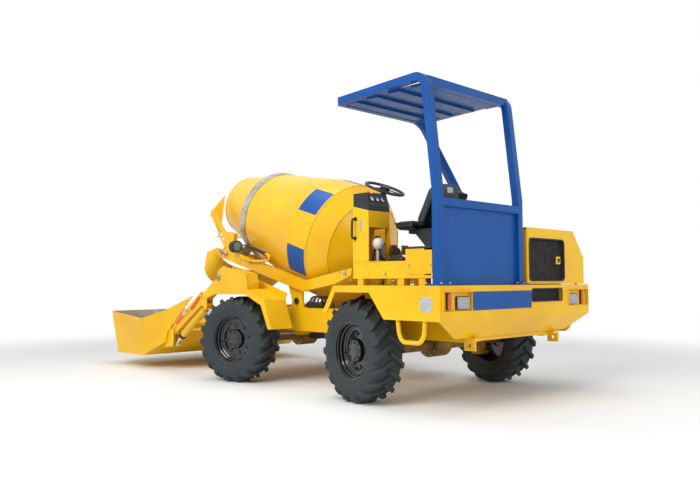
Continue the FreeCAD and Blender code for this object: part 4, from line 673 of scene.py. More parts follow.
# Tyre section, as (radius, offset from the wheel's middle) from the outer bead to the crown.
TYRE_HALF = ((0.2055, 0.1), (0.214, 0.11), (0.222, 0.114), (0.228, 0.1155), (0.231, 0.119), (0.234, 0.119),
    (0.237, 0.1185), (0.255, 0.1245), (0.272, 0.1285), (0.275, 0.1305), (0.279, 0.1305), (0.282, 0.1295),
    (0.3, 0.1305), (0.316, 0.128), (0.331, 0.1225), (0.342, 0.112), (0.349, 0.094), (0.353, 0.06),
    (0.355, 0.025))
# Tread bar stations: top offset and radius, foot offset and radius, turn in degrees, half width.
LUG_STATIONS = ((-0.008, 0.3775, -0.014, 0.35, 0.0, 0.0115), (0.04, 0.38, 0.04, 0.35, 4.6, 0.0135),
    (0.088, 0.3785, 0.088, 0.345, 10.6, 0.0165), (0.117, 0.371, 0.108, 0.338, 14.2, 0.0195),
    (0.1305, 0.352, 0.118, 0.328, 15.6, 0.0195), (0.1325, 0.331, 0.121, 0.318, 16.4, 0.0165),
    (0.1315, 0.322, 0.124, 0.31, 16.8, 0.0125))
# Wheel disc and rim, as (radius, offset), closed round through the wheel.
RIM_SECTION = ((0.212, 0.108), (0.216, 0.105), (0.2155, 0.101), (0.208, 0.099), (0.2, 0.0965),
    (0.197, 0.09), (0.1955, 0.074), (0.189, 0.069), (0.187, 0.062), (0.186, 0.047), (0.178, 0.041),
    (0.176, 0.034), (0.165, 0.029), (0.15, 0.0285), (0.138, 0.031), (0.115, 0.031), (0.1, 0.0325),
    (0.0865, 0.038), (0.0845, 0.056), (0.079, 0.0705), (0.0555, 0.0725), (0.052, 0.078), (0.046, 0.0805),
    (0.018, 0.0815), (0.0, 0.0815), (0.0, 0.04), (0.07, 0.036), (0.075, 0.018), (0.16, 0.016),
    (0.178, -0.03), (0.186, -0.07), (0.2, -0.094), (0.213, -0.1), (0.2155, -0.104), (0.212, -0.108),
    (0.206, -0.106), (0.2035, -0.09), (0.2035, 0.09), (0.206, 0.106))
CORNERS = ("front_left", "front_right", "rear_left", "rear_right")


class MIXER_OT_wheels(PieceMaker, bpy.types.Operator):
    """Tyres with tread bars, and wheels with nuts and valves"""
    bl_idname = "mixer.wheels"
    bl_label = "Wheels"

    def make(self, sizes, colours):
        tyres = {side: self.tyre(sizes, side) for side in ("left", "right")}
        wheel = self.wheel(sizes)
        spins = {joint["child"]: joint for joint in frame["joints"] if joint["name"].startswith("spin_")}
        for corner in CORNERS:
            side = corner.split("_")[1]
            out = Vector(spins["wheel_" + corner]["axis"]) * (1 if side == "left" else -1)
            low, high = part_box("tyre_" + corner)
            ahead = Vector((0, 0, 1)).cross(out) * (-1 if side == "left" else 1)
            place = turned_to(ahead, out.cross(ahead), (low + high) / 2)
            for model, kind, finish in ((tyres[side], "tyre", "tyre rubber"), (wheel, "rim", "rim enamel")):
                piece = twin(model, place)
                finished(piece, "%s_dressed_%s" % (kind, corner), "wheel_" + corner, finish)
                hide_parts("%s_%s" % (kind, corner))
        for model in (*tyres.values(), wheel):
            bpy.data.objects.remove(model)

    def tyre(self, sizes, side):
        """One tyre about its own +Z, which is the wheel's outer side."""
        section = list(TYRE_HALF) + [(r, -z) for r, z in reversed(TYRE_HALF)]
        carcass = spun(section, Matrix.Identity(4), 96)
        turn = -1 if side == "left" else 1
        bars = [self.lug(half, turn) for half in SIDES]
        pitch = 2 * math.pi / sizes.lug_count
        sets = [copies(bar, [Matrix.Rotation((k + 0.5 * n) * pitch, 4, "Z")
            for k in range(sizes.lug_count)]) for n, bar in enumerate(bars)]
        return join(carcass, *sets)

    def lug(self, half, turn):
        """One tread bar from the crown over the shoulder."""
        points, faces = [], []
        for top_z, top_r, foot_z, foot_r, degrees, width in LUG_STATIONS:
            for r, z, w in ((foot_r, foot_z, width + 0.008), (top_r, top_z, width)):
                for way in (-1, 1):
                    angle = turn * math.radians(degrees) + way * w / r
                    points.append((r * math.cos(angle), r * math.sin(angle), half * z))
        for k in range(len(LUG_STATIONS) - 1):
            a, b = 4 * k, 4 * k + 4
            faces += [(a, a + 1, b + 1, b), (a + 2, b + 2, b + 3, a + 3), (a, b, b + 2, a + 2),
                (a + 1, a + 3, b + 3, b + 1)]
        last = 4 * len(LUG_STATIONS) - 4
        faces += [(0, 2, 3, 1), (last, last + 1, last + 3, last + 2)]
        return soften(facing(meshed(points, faces)), 0.0028, 2)

    def wheel(self, sizes):
        """One wheel about its own +Z, with its nuts, hub bolts and valve."""
        disc = spun(RIM_SECTION, Matrix.Identity(4), 72)
        nuts = bolts([(point, (0, 0, 1)) for point in circle(8, 0.124, 0.031, 10)], 0.026)
        studs = bolts([(point, (0, 0, 1)) for point in circle(8, 0.066, 0.071)], 0.014)
        valve = rod((0.168, 0.03, 0.028), (0.168, 0.03, 0.062), 0.0045, 0.001, 12)
        slots = [rod(point, point + Vector((0, 0, 0.002)), 0.011, 0.0008, 20)
            for point in circle(8, 0.155, 0.0275, 32)]
        return join(disc, nuts, studs, valve, *slots)


# Rear body ------------

LAMP_Y, LAMP_Z, LAMP_W, LAMP_H = 0.732, 0.745, 0.136, 0.088
MARKER_Y, MARKER_Z, MARKER_W, MARKER_H = 0.88, 0.756, 0.042, 0.112


class MIXER_OT_tail_lamps(PieceMaker, bpy.types.Operator):
    """Ribbed clear lamps and tall amber markers in the rear beam"""
    bl_idname = "mixer.tail_lamps"
    bl_label = "Tail lamps"

    def make(self, sizes, colours):
        housings, clear, amber, screws, hoods = [], [], [], [], []
        for side in SIDES:
            housings.append(plate(rounded(LAMP_W, LAMP_H, 0.008), 0.012,
                rear_place(side * LAMP_Y, LAMP_Z, -0.018)))
            housings.append(plate(rounded(MARKER_W, MARKER_H, 0.006), 0.01,
                rear_place(side * MARKER_Y, MARKER_Z, -0.018)))
            clear.append(plate(rounded(LAMP_W - 0.008, LAMP_H - 0.008, 0.007), 0.01,
                rear_place(side * LAMP_Y, LAMP_Z, -0.006), 0.002))
            for k in range(9):
                y = side * LAMP_Y + (k - 4) * 0.013
                clear.append(rod(at(REAR_X - 0.0035, y, LAMP_Z - 0.032),
                    at(REAR_X - 0.0035, y, LAMP_Z + 0.032), 0.0028, 0.001, 8))
            amber.append(plate(rounded(MARKER_W - 0.006, MARKER_H - 0.006, 0.006), 0.011,
                rear_place(side * MARKER_Y, MARKER_Z, -0.008), 0.003))
            for k in range(11):
                z = MARKER_Z + (k - 5) * 0.0085
                amber.append(rod(at(REAR_X - 0.0025, side * MARKER_Y - 0.012, z),
                    at(REAR_X - 0.0025, side * MARKER_Y + 0.012, z), 0.0022, 0.0008, 8))
            screws += [(at(REAR_X - 0.0045, side * LAMP_Y + a * 0.058, LAMP_Z + b * 0.035), (-1, 0, 0))
                for a in SIDES for b in SIDES]
            y_in, y_out = sorted((side * 0.645, side * 0.962))
            hoods.append(block(at(REAR_X - 0.026, y_in, 0.82), at(REAR_X + 0.004, y_out, 0.8245), 0.001))
            hoods += [block(at(REAR_X - 0.012, y, 0.69), at(REAR_X + 0.004, y + 0.004, 0.821), 0.001)
                for y in (y_in, y_out - 0.004)]
        finished(housings, "lamp_housings", "chassis", "black plastic")
        # The clear lenses' pale colour is a painted reflection of the reflector behind them.
        lens = finished(clear, "clear_lamp_lenses", "chassis", "clear lens")
        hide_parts("tail_lamps")
        finished(amber, "amber_marker_lenses", "chassis", "amber lens")
        finished(bolts(screws, 0.006, False), "lamp_screws", "chassis", "zinc")
        finished(hoods, "lamp_hoods", "chassis", "yellow enamel")


PLATE_Y, PLATE_Z, PLATE_W, PLATE_H = 0.268, 0.755, 0.745, 0.128
DATA_X, DATA_Z = -1.552, 0.735


class MIXER_OT_plates(PieceMaker, bpy.types.Operator):
    """Bare number plate and data plate, each with its rivets, and the console strip"""
    bl_idname = "mixer.plates"
    bl_label = "Bare plates"

    def make(self, sizes, colours):
        blue = plate(rounded(PLATE_W, PLATE_H, 0.006), 0.003, rear_place(PLATE_Y, PLATE_Z))
        finished(blue, "rear_plate", "chassis", "blue powder coat")
        data = plate(rounded(0.098, 0.094, 0.004), 0.0015, left_place(DATA_X, DATA_Z, SIDE_Y))
        strip = plate(rounded(0.022, 0.082, 0.003), 0.0012, left_place(-0.925, 1.296, PANEL_Y))
        finished((data, strip), "bare_data_plates", "chassis", "plate")
        rivets = []
        for a in SIDES:
            for b in SIDES:
                rivets.append((at(REAR_X - 0.003, PLATE_Y + a * 0.358, PLATE_Z + b * 0.05), (-1, 0, 0)))
                rivets.append((at(DATA_X + a * 0.042, SIDE_Y + 0.0015, DATA_Z + b * 0.04), (0, 1, 0)))
        finished(bolts(rivets, 0.006, False), "plate_rivets", "chassis", "zinc")


def screen(width, height, pitch, place, wire):
    """A woven wire screen in its own XY plane about its middle."""
    nothing_selected()
    bpy.ops.mesh.primitive_grid_add(x_subdivisions=round(width / pitch),
        y_subdivisions=round(height / pitch), size=1)
    piece = bpy.context.object
    piece.scale = (width, height, 1)
    set_down(piece)
    modified(piece, "WIREFRAME", thickness=wire, use_even_offset=False)
    piece.matrix_world = place
    return set_down(piece)


def rubber_edge(width, height, radius, place, thick):
    """A rubber edge strip round an opening."""
    return pipe([place @ Vector((x, y, 0)) for x, y in rounded(width, height, radius, 7)], thick, True)


WINDOW_Y, WINDOW_Z, WINDOW_W, WINDOW_H = -0.4025, 1.054, 0.515, 0.324
VENT_Y, VENT_Z, VENT_W, VENT_H = -0.3325, 0.783, 0.438, 0.095
LATCH_Y, LATCH_Z = -0.565, 1.052
WIRE_T = 0.0024


class MIXER_OT_grilles(PieceMaker, bpy.types.Operator):
    """Wire screens of the hood and the rear beam, with their rubber edges and the hood's latch"""
    bl_idname = "mixer.grilles"
    bl_label = "Grilles"

    def make(self, sizes, colours):
        wires = screen(WINDOW_W + 0.008, WINDOW_H + 0.008, sizes.wire_pitch,
            rear_place(WINDOW_Y, WINDOW_Z, -0.0035, HOOD_X), WIRE_T)
        finished(wires, "hood_screen", "hood", "screen wire")
        edge = rubber_edge(WINDOW_W, WINDOW_H, 0.035, rear_place(WINDOW_Y, WINDOW_Z, 0.001, HOOD_X), 0.006)
        finished(edge, "hood_window_edge", "hood", "hose rubber")
        wires = screen(VENT_W + 0.002, VENT_H + 0.003, sizes.wire_pitch, rear_place(VENT_Y, VENT_Z, -0.02),
            WIRE_T)
        finished(wires, "beam_screen", "chassis", "screen wire")
        edge = rubber_edge(VENT_W, VENT_H, 0.016, rear_place(VENT_Y, VENT_Z, 0.001), 0.005)
        finished(edge, "beam_window_edge", "chassis", "hose rubber")
        backing = block(at(-1.641, -0.562, 0.727), at(-1.637, -0.103, 0.839), 0.001)
        finished(backing, "beam_backing", "chassis", "black plastic")
        latch = plate(rounded(0.06, 0.06, 0.008), 0.008, rear_place(LATCH_Y, LATCH_Z, -0.003, HOOD_X),
            0.001)
        finished(latch, "hood_latch", "hood", "yellow enamel")
        lock = rod(at(-1.636, LATCH_Y, 1.056), at(-1.646, LATCH_Y, 1.056), 0.013, 0.002)
        tab = block(at(-1.641, LATCH_Y - 0.006, 1.032), at(-1.636, LATCH_Y + 0.006, 1.05), 0.001)
        finished((lock, tab), "hood_lock", "hood", "black plastic")


class MIXER_OT_hood_fittings(PieceMaker, bpy.types.Operator):
    """Lifting handle, side louvres and rubber stops on the engine hood"""
    bl_idname = "mixer.hood_fittings"
    bl_label = "Hood fittings"

    def make(self, sizes, colours):
        handle = pipe(route((-1.1, -0.981, 0.945), (-1.1, -1.0, 0.945), (-1.115, -1.0, 0.945),
            (-1.285, -1.0, 0.945), (-1.3, -1.0, 0.945), (-1.3, -0.981, 0.945)), 0.007)
        finished(handle, "hood_handle", "hood", "black plastic")
        slats = []
        for k in range(7):
            z = 0.985 + 0.0115 * k
            slats.append(block(at(-1.5, -0.9835, z), at(-0.92, -0.979, z + 0.005), 0.0015))
        finished(slats, "hood_louvres", "hood", "yellow enamel")
        stops = [rod(at(x, y, 0.8615), at(x, y, 0.8675), 0.012, 0.002) for x in (-1.6, -0.84)
            for y in (-0.2, -0.9)]
        finished(stops, "hood_stops", "chassis", "hose rubber")


# Operator's place ------------

RESERVOIR_X, RESERVOIR_Y = -1.0, 0.855
SWITCH_X = -0.948


class MIXER_OT_console_fittings(PieceMaker, bpy.types.Operator):
    """Grab handle, levers, dials, lamps and reservoir lines at the console"""
    bl_idname = "mixer.console_fittings"
    bl_label = "Console fittings"

    def make(self, sizes, colours):
        grip = pipe(route((-0.868, 0.951, 1.346), (-0.868, 0.978, 1.346), (-0.868, 0.986, 1.335),
            (-0.866, 0.986, 1.275), (-0.864, 0.986, 1.215), (-0.864, 0.978, 1.204),
            (-0.864, 0.951, 1.204)), 0.0085)
        feet = [rod(at(x, 0.95, z), at(x, 0.957, z), 0.015, 0.002)
            for x, z in ((-0.868, 1.346), (-0.864, 1.204))]
        finished((grip, *feet), "grab_handle", "chassis", "black plastic")
        shafts, knobs, boots = [], [], []
        for k in range(4):
            x, y = -0.955 + 0.026 * (k % 2), 0.775 + 0.042 * k
            foot, top = at(x, y, 1.424), at(x - 0.022, y, 1.492)
            shafts.append(rod(foot, top, 0.004, 0.0008, 14))
            knobs.append(spun([(0.0, -0.014), (0.008, -0.012), (0.0135, -0.003), (0.014, 0.006),
                (0.01, 0.014), (0.0, 0.017)], along(top, top + (top - foot)), 20, False))
            boots.append(spun([(0.0, 0.0), (0.017, 0.0), (0.015, 0.006), (0.016, 0.01), (0.01, 0.016),
                (0.006, 0.022), (0.0, 0.022)], along(foot, top), 20, False))
        finished(shafts, "lever_shafts", "chassis", "zinc")
        finished((*knobs, *boots), "lever_knobs", "chassis", "black plastic")
        self.dials()
        lines = [pipe(route((RESERVOIR_X + a, RESERVOIR_Y + b, 1.125),
            (RESERVOIR_X + 1.6 * a, RESERVOIR_Y + b, 1.095), (RESERVOIR_X + 1.9 * a, RESERVOIR_Y + 1.8 * b,
            1.065), (RESERVOIR_X + 1.9 * a, RESERVOIR_Y + 2 * b, 1.031)), 0.0065)
            for a, b in ((0.018, 0.008), (-0.018, 0.008), (0.0, -0.02))]
        finished(lines, "reservoir_lines", "chassis", "hose rubber")
        cap = spun([(0.0, 0.0), (0.02, 0.0), (0.021, 0.003), (0.021, 0.014), (0.018, 0.017), (0.0, 0.018)],
            along(at(RESERVOIR_X, RESERVOIR_Y, 1.203), at(RESERVOIR_X, RESERVOIR_Y, 1.3)), 32, False)
        finished(cap, "reservoir_cap", "chassis", "black plastic")

    def dials(self):
        face = at(-0.989, 0.0, 1.49)
        slope = Vector((-0.958, 0, 0.287)).normalized()
        bezels, faces, glass = [], [], []
        for k in range(3):
            middle = Vector((face.x + 0.004, 0.79 + 0.055 * k, face.z))
            bezels.append(spun([(0.0205, -0.006), (0.0235, -0.006), (0.0235, 0.006), (0.021, 0.008),
                (0.0195, 0.006)], along(middle, middle + slope), 32))
            faces.append(rod(middle - slope * 0.004, middle + slope * 0.003, 0.0198, 0.0005))
            needle = middle + slope * 0.004
            glass.append(rod(needle, needle + Vector((0.002, 0.009 - 0.005 * k, 0.011)), 0.0011, 0.0003, 8))
        finished(bezels, "dial_bezels", "chassis", "black plastic")
        finished(faces, "dial_faces", "chassis", "plate")
        lamp = rod(at(-0.955, 0.905, CONSOLE_Z), at(-0.955, 0.905, 1.544), 0.012, 0.003)
        finished((*glass, lamp), "dial_needles_and_lamp", "chassis", "reflector")
        keys = [rod(at(SWITCH_X, 0.755 + 0.028 * k, CONSOLE_Z), at(SWITCH_X, 0.755 + 0.028 * k, 1.542),
            0.008, 0.002, 16) for k in range(4)]
        finished(keys, "switches", "chassis", "black plastic")


class MIXER_OT_platform_fittings(PieceMaker, bpy.types.Operator):
    """Seat box panel, screws, folded brace, pedals and floor mat"""
    bl_idname = "mixer.platform_fittings"
    bl_label = "Platform fittings"

    def make(self, sizes, colours):
        panel = plate(rounded(0.205, 0.16, 0.004), 0.0035, left_place(-1.482, 1.018, PANEL_Y))
        brace = plate([(-0.11, 0.022), (-0.13, -0.018), (0.085, -0.018), (0.1, -0.012), (0.106, 0.0),
            (0.1, 0.013), (0.085, 0.019)], 0.006, turned_to((-0.905, 0, -0.425), (-0.425, 0, 0.905),
            at(-1.08, 0.95, 0.98)))
        ledge = block(at(-1.13, 0.905, 1.0285), at(-0.865, 0.956, 1.034), 0.0015)
        finished((panel, brace, ledge), "platform_panels", "chassis", "yellow enamel")
        screws = [(at(x, 0.9535, 0.998), (0, 1, 0)) for x in (-1.388, -1.576)]
        screws += [(at(-1.168, 0.956, 0.943), (0, 1, 0)), (at(-0.76, 0.951, 0.975), (0, 1, 0)),
            (at(-0.7, 0.951, 0.955), (0, 1, 0))]
        finished(bolts(screws, 0.011), "platform_screws", "chassis", "zinc")
        pads, stems = [], []
        for y in (0.56, 0.68):
            pads.append(block(at(-1.008, y - 0.035, 1.088), at(-0.992, y + 0.035, 1.16), 0.004))
            pads += [block(at(-1.0115, y - 0.03, 1.098 + 0.014 * n),
                at(-1.0075, y + 0.03, 1.104 + 0.014 * n), 0.001) for n in range(4)]
            stems.append(rod(at(-0.998, y, 1.125), at(-0.9, y, 1.033), 0.008, 0.002, 16))
        # The pedals take the yellow enamel darkened with painted shade and oil mottling.
        finished(pads, "pedal_pads", "chassis", "oily enamel with painted shade")
        finished(stems, "pedal_stems", "chassis", "oily enamel with painted shade")
        mat = block(at(-1.34, 0.275, 1.0302), at(-1.01, 0.935, 1.036), 0.002)
        finished(mat, "floor_mat", "chassis", "mat")


STUFFING, CLOTH_FRAMES = 4.0, 20


def pad(low, high, place, round_by, cap, voxel=0.0075):
    """A stuffed pad: a rounded block, remeshed and puffed up by cloth pressure inside its cover."""
    piece = modified(block(low, high, round_by), "REMESH", mode="VOXEL", voxel_size=voxel)
    before = [v.co.copy() for v in piece.data.vertices]
    cloth = piece.modifiers.new("stuffing", "CLOTH")
    cloth.settings.use_pressure = True
    cloth.settings.uniform_pressure_force = STUFFING
    cloth.settings.effector_weights.gravity = 0.0
    cloth.settings.quality = 6
    cloth.point_cache.frame_start, cloth.point_cache.frame_end = 1, CLOTH_FRAMES
    scene = bpy.context.scene
    for step in range(1, CLOTH_FRAMES + 1):
        scene.frame_set(step)
    only(piece)
    bpy.ops.object.modifier_apply(modifier=cloth.name)
    scene.frame_set(1)
    for vertex, start in zip(piece.data.vertices, before):
        shift = vertex.co - start
        if shift.length > cap:
            vertex.co = start + shift.normalized() * cap
    modified(piece, "SMOOTH", factor=0.5, iterations=6)
    modified(piece, "SUBSURF", levels=1, render_levels=1)
    piece.matrix_world = place
    return set_down(piece)


BACK_LEAN = math.radians(28)


class MIXER_OT_seat(PieceMaker, bpy.types.Operator):
    """Vinyl seat with its piping, pan and slides"""
    bl_idname = "mixer.seat"
    bl_label = "Seat"

    def make(self, sizes, colours):
        low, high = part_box("seat_cushion")
        cushion = pad((low.x + 0.006, low.y + 0.006, low.z + 0.004),
            (high.x - 0.004, high.y - 0.006, high.z - 0.01), Matrix.Identity(4), 0.022, 0.007)
        finished(cushion, "seat_cushion_vinyl", "chassis", "seat vinyl", smooth=60)
        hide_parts("seat_cushion")
        back_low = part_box("seat_back")[0]
        foot = Vector((low.x - 0.0003 - 0.085 * math.cos(BACK_LEAN), 0.6, back_low.z))
        place = Matrix.Translation(foot) @ Matrix.Rotation(-BACK_LEAN, 4, "Y")
        back = pad((0.008, -0.192, 0.012), (0.076, 0.192, 0.292), place, 0.026, 0.007)
        finished(back, "seat_back_vinyl", "chassis", "seat vinyl", smooth=60)
        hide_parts("seat_back")
        r = sizes.piping
        middle = (low + high) / 2
        rim = [Vector((middle.x + x, middle.y + y, high.z - 0.02))
            for x, y in rounded(high.x - low.x - 0.004, high.y - low.y - 0.006, 0.03)]
        finished(pipe(rim, r, True), "seat_piping", "chassis", "hose rubber")
        pan = plate(rounded(0.15, 0.38, 0.02), 0.006, turned_to((1, 0, 0), (0, 1, 0),
            (middle.x - 0.025, 0.6, low.z - 0.0035)))
        shell = plate(rounded(0.375, 0.275, 0.03), 0.004, place @ turned_to((0, 1, 0), (0, 0, 1),
            (0.002, 0, 0.152)), 0.001)
        slides = [block((low.x - 0.02, y - 0.012, low.z - 0.03), (high.x - 0.09, y + 0.012, low.z - 0.003))
            for y in (0.5, 0.7)]
        finished((pan, shell, *slides), "seat_pan", "chassis", "black plastic")
        lid = block(at(-1.575, 0.262, 1.1095), at(-1.362, 0.953, 1.124), 0.002)
        finished(lid, "seat_box_lid", "chassis", "hose rubber")
        case = block(at(-1.58, 0.65, 1.455), at(-1.505, 0.8, 1.549), 0.006)
        finished(case, "rear_work_lamp_case", "chassis", "black plastic")
        lens = plate(rounded(0.06, 0.04, 0.008), 0.006, rear_place(0.752, 1.508, 0.0, -1.58), 0.002)
        # The work lamp's clear lens is pale with a painted reflection.
        finished(lens, "rear_work_lamp_lens", "chassis", "clear lens")


FOOT_PLATE = 0.012


class MIXER_OT_roll_frame_fittings(PieceMaker, bpy.types.Operator):
    """Foot bolts of the roll frame"""
    bl_idname = "mixer.roll_frame_fittings"
    bl_label = "Roll frame fittings"

    def make(self, sizes, colours):
        top = DECK_Z + FOOT_PLATE
        places = [(at(x, y + b * 0.045, top), (0, 0, 1)) for x in (-1.65, -1.526) for y in (0.894, 0.006)
            for b in SIDES]
        finished(bolts(places, 0.016), "roll_frame_bolts", "chassis", "zinc")


# Drum and its frame ------------

DRUM_MIDDLE, DRUM_LEAN = at(0.8, 0.0, 1.43), math.radians(17)
DRUM_AHEAD = Vector((math.cos(DRUM_LEAN), 0, math.sin(DRUM_LEAN)))
DRUM_UP = Vector((-math.sin(DRUM_LEAN), 0, math.cos(DRUM_LEAN)))
BELT_R, SQUARE_LOW, SQUARE_HIGH, SQUARE_T = 0.56, -0.672, -0.428, 0.001
SQUARE_START = math.radians(64)
DRUM_WALL = ((0.975, 0.305), (0.48, 0.444), (0.4, 0.449), (-0.415, 0.555))


def drum_place():
    """A place whose +Z runs along the drum's axis to its mouth and whose X points up."""
    return turned_to(DRUM_UP, DRUM_AHEAD.cross(DRUM_UP), DRUM_MIDDLE)


class MIXER_OT_drum_fittings(PieceMaker, bpy.types.Operator):
    """Blue squares, weld seams and rolled mouth of the drum, with its mixing blades"""
    bl_idname = "mixer.drum_fittings"
    bl_label = "Drum fittings"

    def make(self, sizes, colours):
        place = drum_place()
        pitch = 2 * math.pi / sizes.patch_count
        square = [(BELT_R, SQUARE_LOW), (BELT_R, SQUARE_HIGH), (BELT_R + SQUARE_T, SQUARE_HIGH),
            (BELT_R + SQUARE_T, SQUARE_LOW)]
        patches = [spun(square, place @ Matrix.Rotation(-SQUARE_START - k * pitch, 4, "Z"), 12, True,
            -sizes.patch_turn) for k in range(sizes.patch_count)]
        finished(patches, "drum_squares", "drum", "blue vinyl")
        bead = ((-0.004, -0.007), (0.0015, -0.005), (0.0025, 0.0), (0.0015, 0.005), (-0.004, 0.007))
        seams = [spun([(r + x, s + y) for x, y in bead], place, 96)
            for r, s in ((0.5585, -0.418), (0.5585, -0.682), (0.439, -0.84))]
        roll = spun([(0.309 + 0.008 * math.cos(a), 0.979 + 0.008 * math.sin(a))
            for a in (math.radians(30 * k) for k in range(12))], place, 72)
        finished((*seams, roll), "drum_seams", "drum", "yellow enamel")
        blades = join(*[self.blade(start) for start in (0.0, math.pi)])
        blades.matrix_world = place
        # The blades take the pale plate whose colour is partly painted glare, partly cement film.
        finished(blades, "drum_blades", "drum", "scoured plate with painted glare")

    def blade(self, start):
        """A spiral blade on the inner wall, from the mouth to the belt."""
        points, faces = [], []
        steps = 70
        for k in range(steps + 1):
            s = 0.95 - 1.35 * k / steps
            wall = next(r1 + (r0 - r1) * (s - s1) / (s0 - s1) for (s0, r0), (s1, r1) in zip(DRUM_WALL,
                DRUM_WALL[1:]) if s >= s1)
            angle = start + 2 * math.pi * 1.35 * k / steps
            depth = 0.11 * min(1.0, 0.25 + k / 14)
            for r, shift in ((wall + 0.001, 0.0), (wall - depth * 0.8, 0.004), (wall - depth, 0.022)):
                points.append((r * math.cos(angle), r * math.sin(angle), s + shift))
        for k in range(steps):
            a, b = 3 * k, 3 * k + 3
            faces += [(a, b, b + 1, a + 1), (a + 1, b + 1, b + 2, a + 2)]
        return walled(meshed(points, faces), 0.004)


WORK_LAMP = (1.18, 0.56, 1.235)
LINE_Y = 0.535


class MIXER_OT_drum_frame_fittings(PieceMaker, bpy.types.Operator):
    """Beam bolts, pivot caps, work lamp, water line and roller bolts on the drum's frame"""
    bl_idname = "mixer.drum_frame_fittings"
    bl_label = "Drum frame fittings"

    def make(self, sizes, colours):
        heads = []
        for side in SIDES:
            heads += [(at(x, side * 0.5213, z), (0, side, 0)) for x, z in ((1.5, 1.186), (1.524, 1.205))]
            heads += [(at(x, side * 0.516, z), (0, side, 0)) for x, z in ((1.455, 1.165), (-0.3, 0.955))]
            heads += [(at(x, side * 0.5222, z), (0, side, 0)) for x, z in ((1.415, 1.168), (1.453, 1.168))]
        finished(bolts(heads, sizes.bolt_across), "drum_frame_bolts", "drum_cradle", "zinc")
        caps = [rod(at(PIVOT_X, side * 0.506, PIVOT_Z), at(PIVOT_X, side * 0.514, PIVOT_Z), 0.03, 0.003)
            for side in SIDES]
        finished(caps, "pivot_caps", "chassis", "black plastic")
        glass = along(at(*WORK_LAMP), at(*WORK_LAMP) - Vector((0.08, 0, 0)))
        lens = spun([(0.0, 0.008), (0.03, 0.006), (0.05, 0.0), (0.05, -0.004), (0.0, -0.004)], glass, 40,
            False)
        # The work lamp's blue grey glass colour is a painted reflection.
        finished(lens, "work_lamp_lens", "drum_cradle", "lamp glass")
        bezel = spun([(0.05, -0.01), (0.0575, -0.062), (0.0585, -0.01), (0.0585, 0.005), (0.05, 0.006)],
            glass, 48)
        finished(bezel, "work_lamp_bezel", "drum_cradle", "black plastic")
        outline = [(1.452, 1.2), (1.468, 1.348), (1.729, 1.585), (1.63, 1.61), (1.424, 1.388),
            (1.41, 1.395), (1.291, 1.371), (1.321, 1.19)]
        lower = [outline[0], outline[1], outline[5], outline[6], outline[7]]
        brackets = []
        for side in SIDES:
            near = plate(outline, 0.006, turned_to((1, 0, 0), (0, 0, 1), at(0, side * 0.519 + 0.003, 0)),
                0.001)
            deep = plate(lower, 0.046, turned_to((1, 0, 0), (0, 0, 1), at(0, side * 0.497 + 0.023, 0)),
                0.002)
            brackets += [near, deep]
        finished(brackets, "hopper_brackets", "drum_cradle", "yellow enamel")
        sleeve = pipe(route((1.05, LINE_Y, 1.239), (0.98, LINE_Y, 1.218), (0.9, LINE_Y, 1.195),
            (0.82, LINE_Y, 1.171), (0.758, LINE_Y, 1.153)), 0.0165)
        finished(sleeve, "water_hose", "drum_cradle", "hose rubber")
        line = pipe(route((0.758, LINE_Y, 1.153), (0.715, LINE_Y, 1.142), (0.698, LINE_Y, 1.118),
            (0.715, LINE_Y, 1.09), (0.77, LINE_Y, 1.085), (0.95, LINE_Y, 1.08), (1.137, LINE_Y, 1.123),
            (1.16, LINE_Y, 1.15)), 0.011)
        clips = [block(at(x - 0.01, 0.516, z - 0.018), at(x + 0.01, 0.55, z + 0.018), 0.003)
            for x, z in ((0.8, 1.084), (1.02, 1.092))]
        finished((line, *clips), "water_line", "drum_cradle", "yellow enamel")


class MIXER_OT_gearmotor_fittings(PieceMaker, bpy.types.Operator):
    """Flange bolts, ribs and ports of the drum's gearbox and motor"""
    bl_idname = "mixer.gearmotor_fittings"
    bl_label = "Gearmotor fittings"

    def make(self, sizes, colours):
        place = drum_place()
        ribs = [spun(band(0.108, 0.122, s, 0.006), place, 64) for s in (-1.06, -1.2)]
        fins = [spun(band(0.058, 0.066, s, 0.003), place, 40) for s in (-1.235, -1.25, -1.265, -1.28,
            -1.295, -1.31)]
        finished((*ribs, *fins), "gearbox_ribs", "drum_cradle", "cast iron")
        heads = []
        for k in range(12):
            angle = math.radians(30 * k + 15)
            out = DRUM_UP * math.cos(angle) + Vector((0, 1, 0)) * math.sin(angle)
            heads.append((DRUM_MIDDLE + DRUM_AHEAD * -1.206 + out * 0.113, -DRUM_AHEAD))
        finished(bolts(heads, 0.013), "gearbox_bolts", "drum_cradle", "zinc")
        ports = []
        for side in SIDES:
            foot = DRUM_MIDDLE + DRUM_AHEAD * -1.29 + Vector((0, side * 0.058, 0))
            ports.append(pipe([foot, foot + Vector((0, side * 0.04, 0)),
                foot + Vector((0.03, side * 0.06, -0.05)), foot + Vector((0.07, side * 0.065, -0.14)),
                foot + Vector((0.1, side * 0.05, -0.21))], 0.01))
        finished(ports, "motor_hoses", "drum_cradle", "hose rubber")


# Loader ------------

TAPE_T = 0.0012


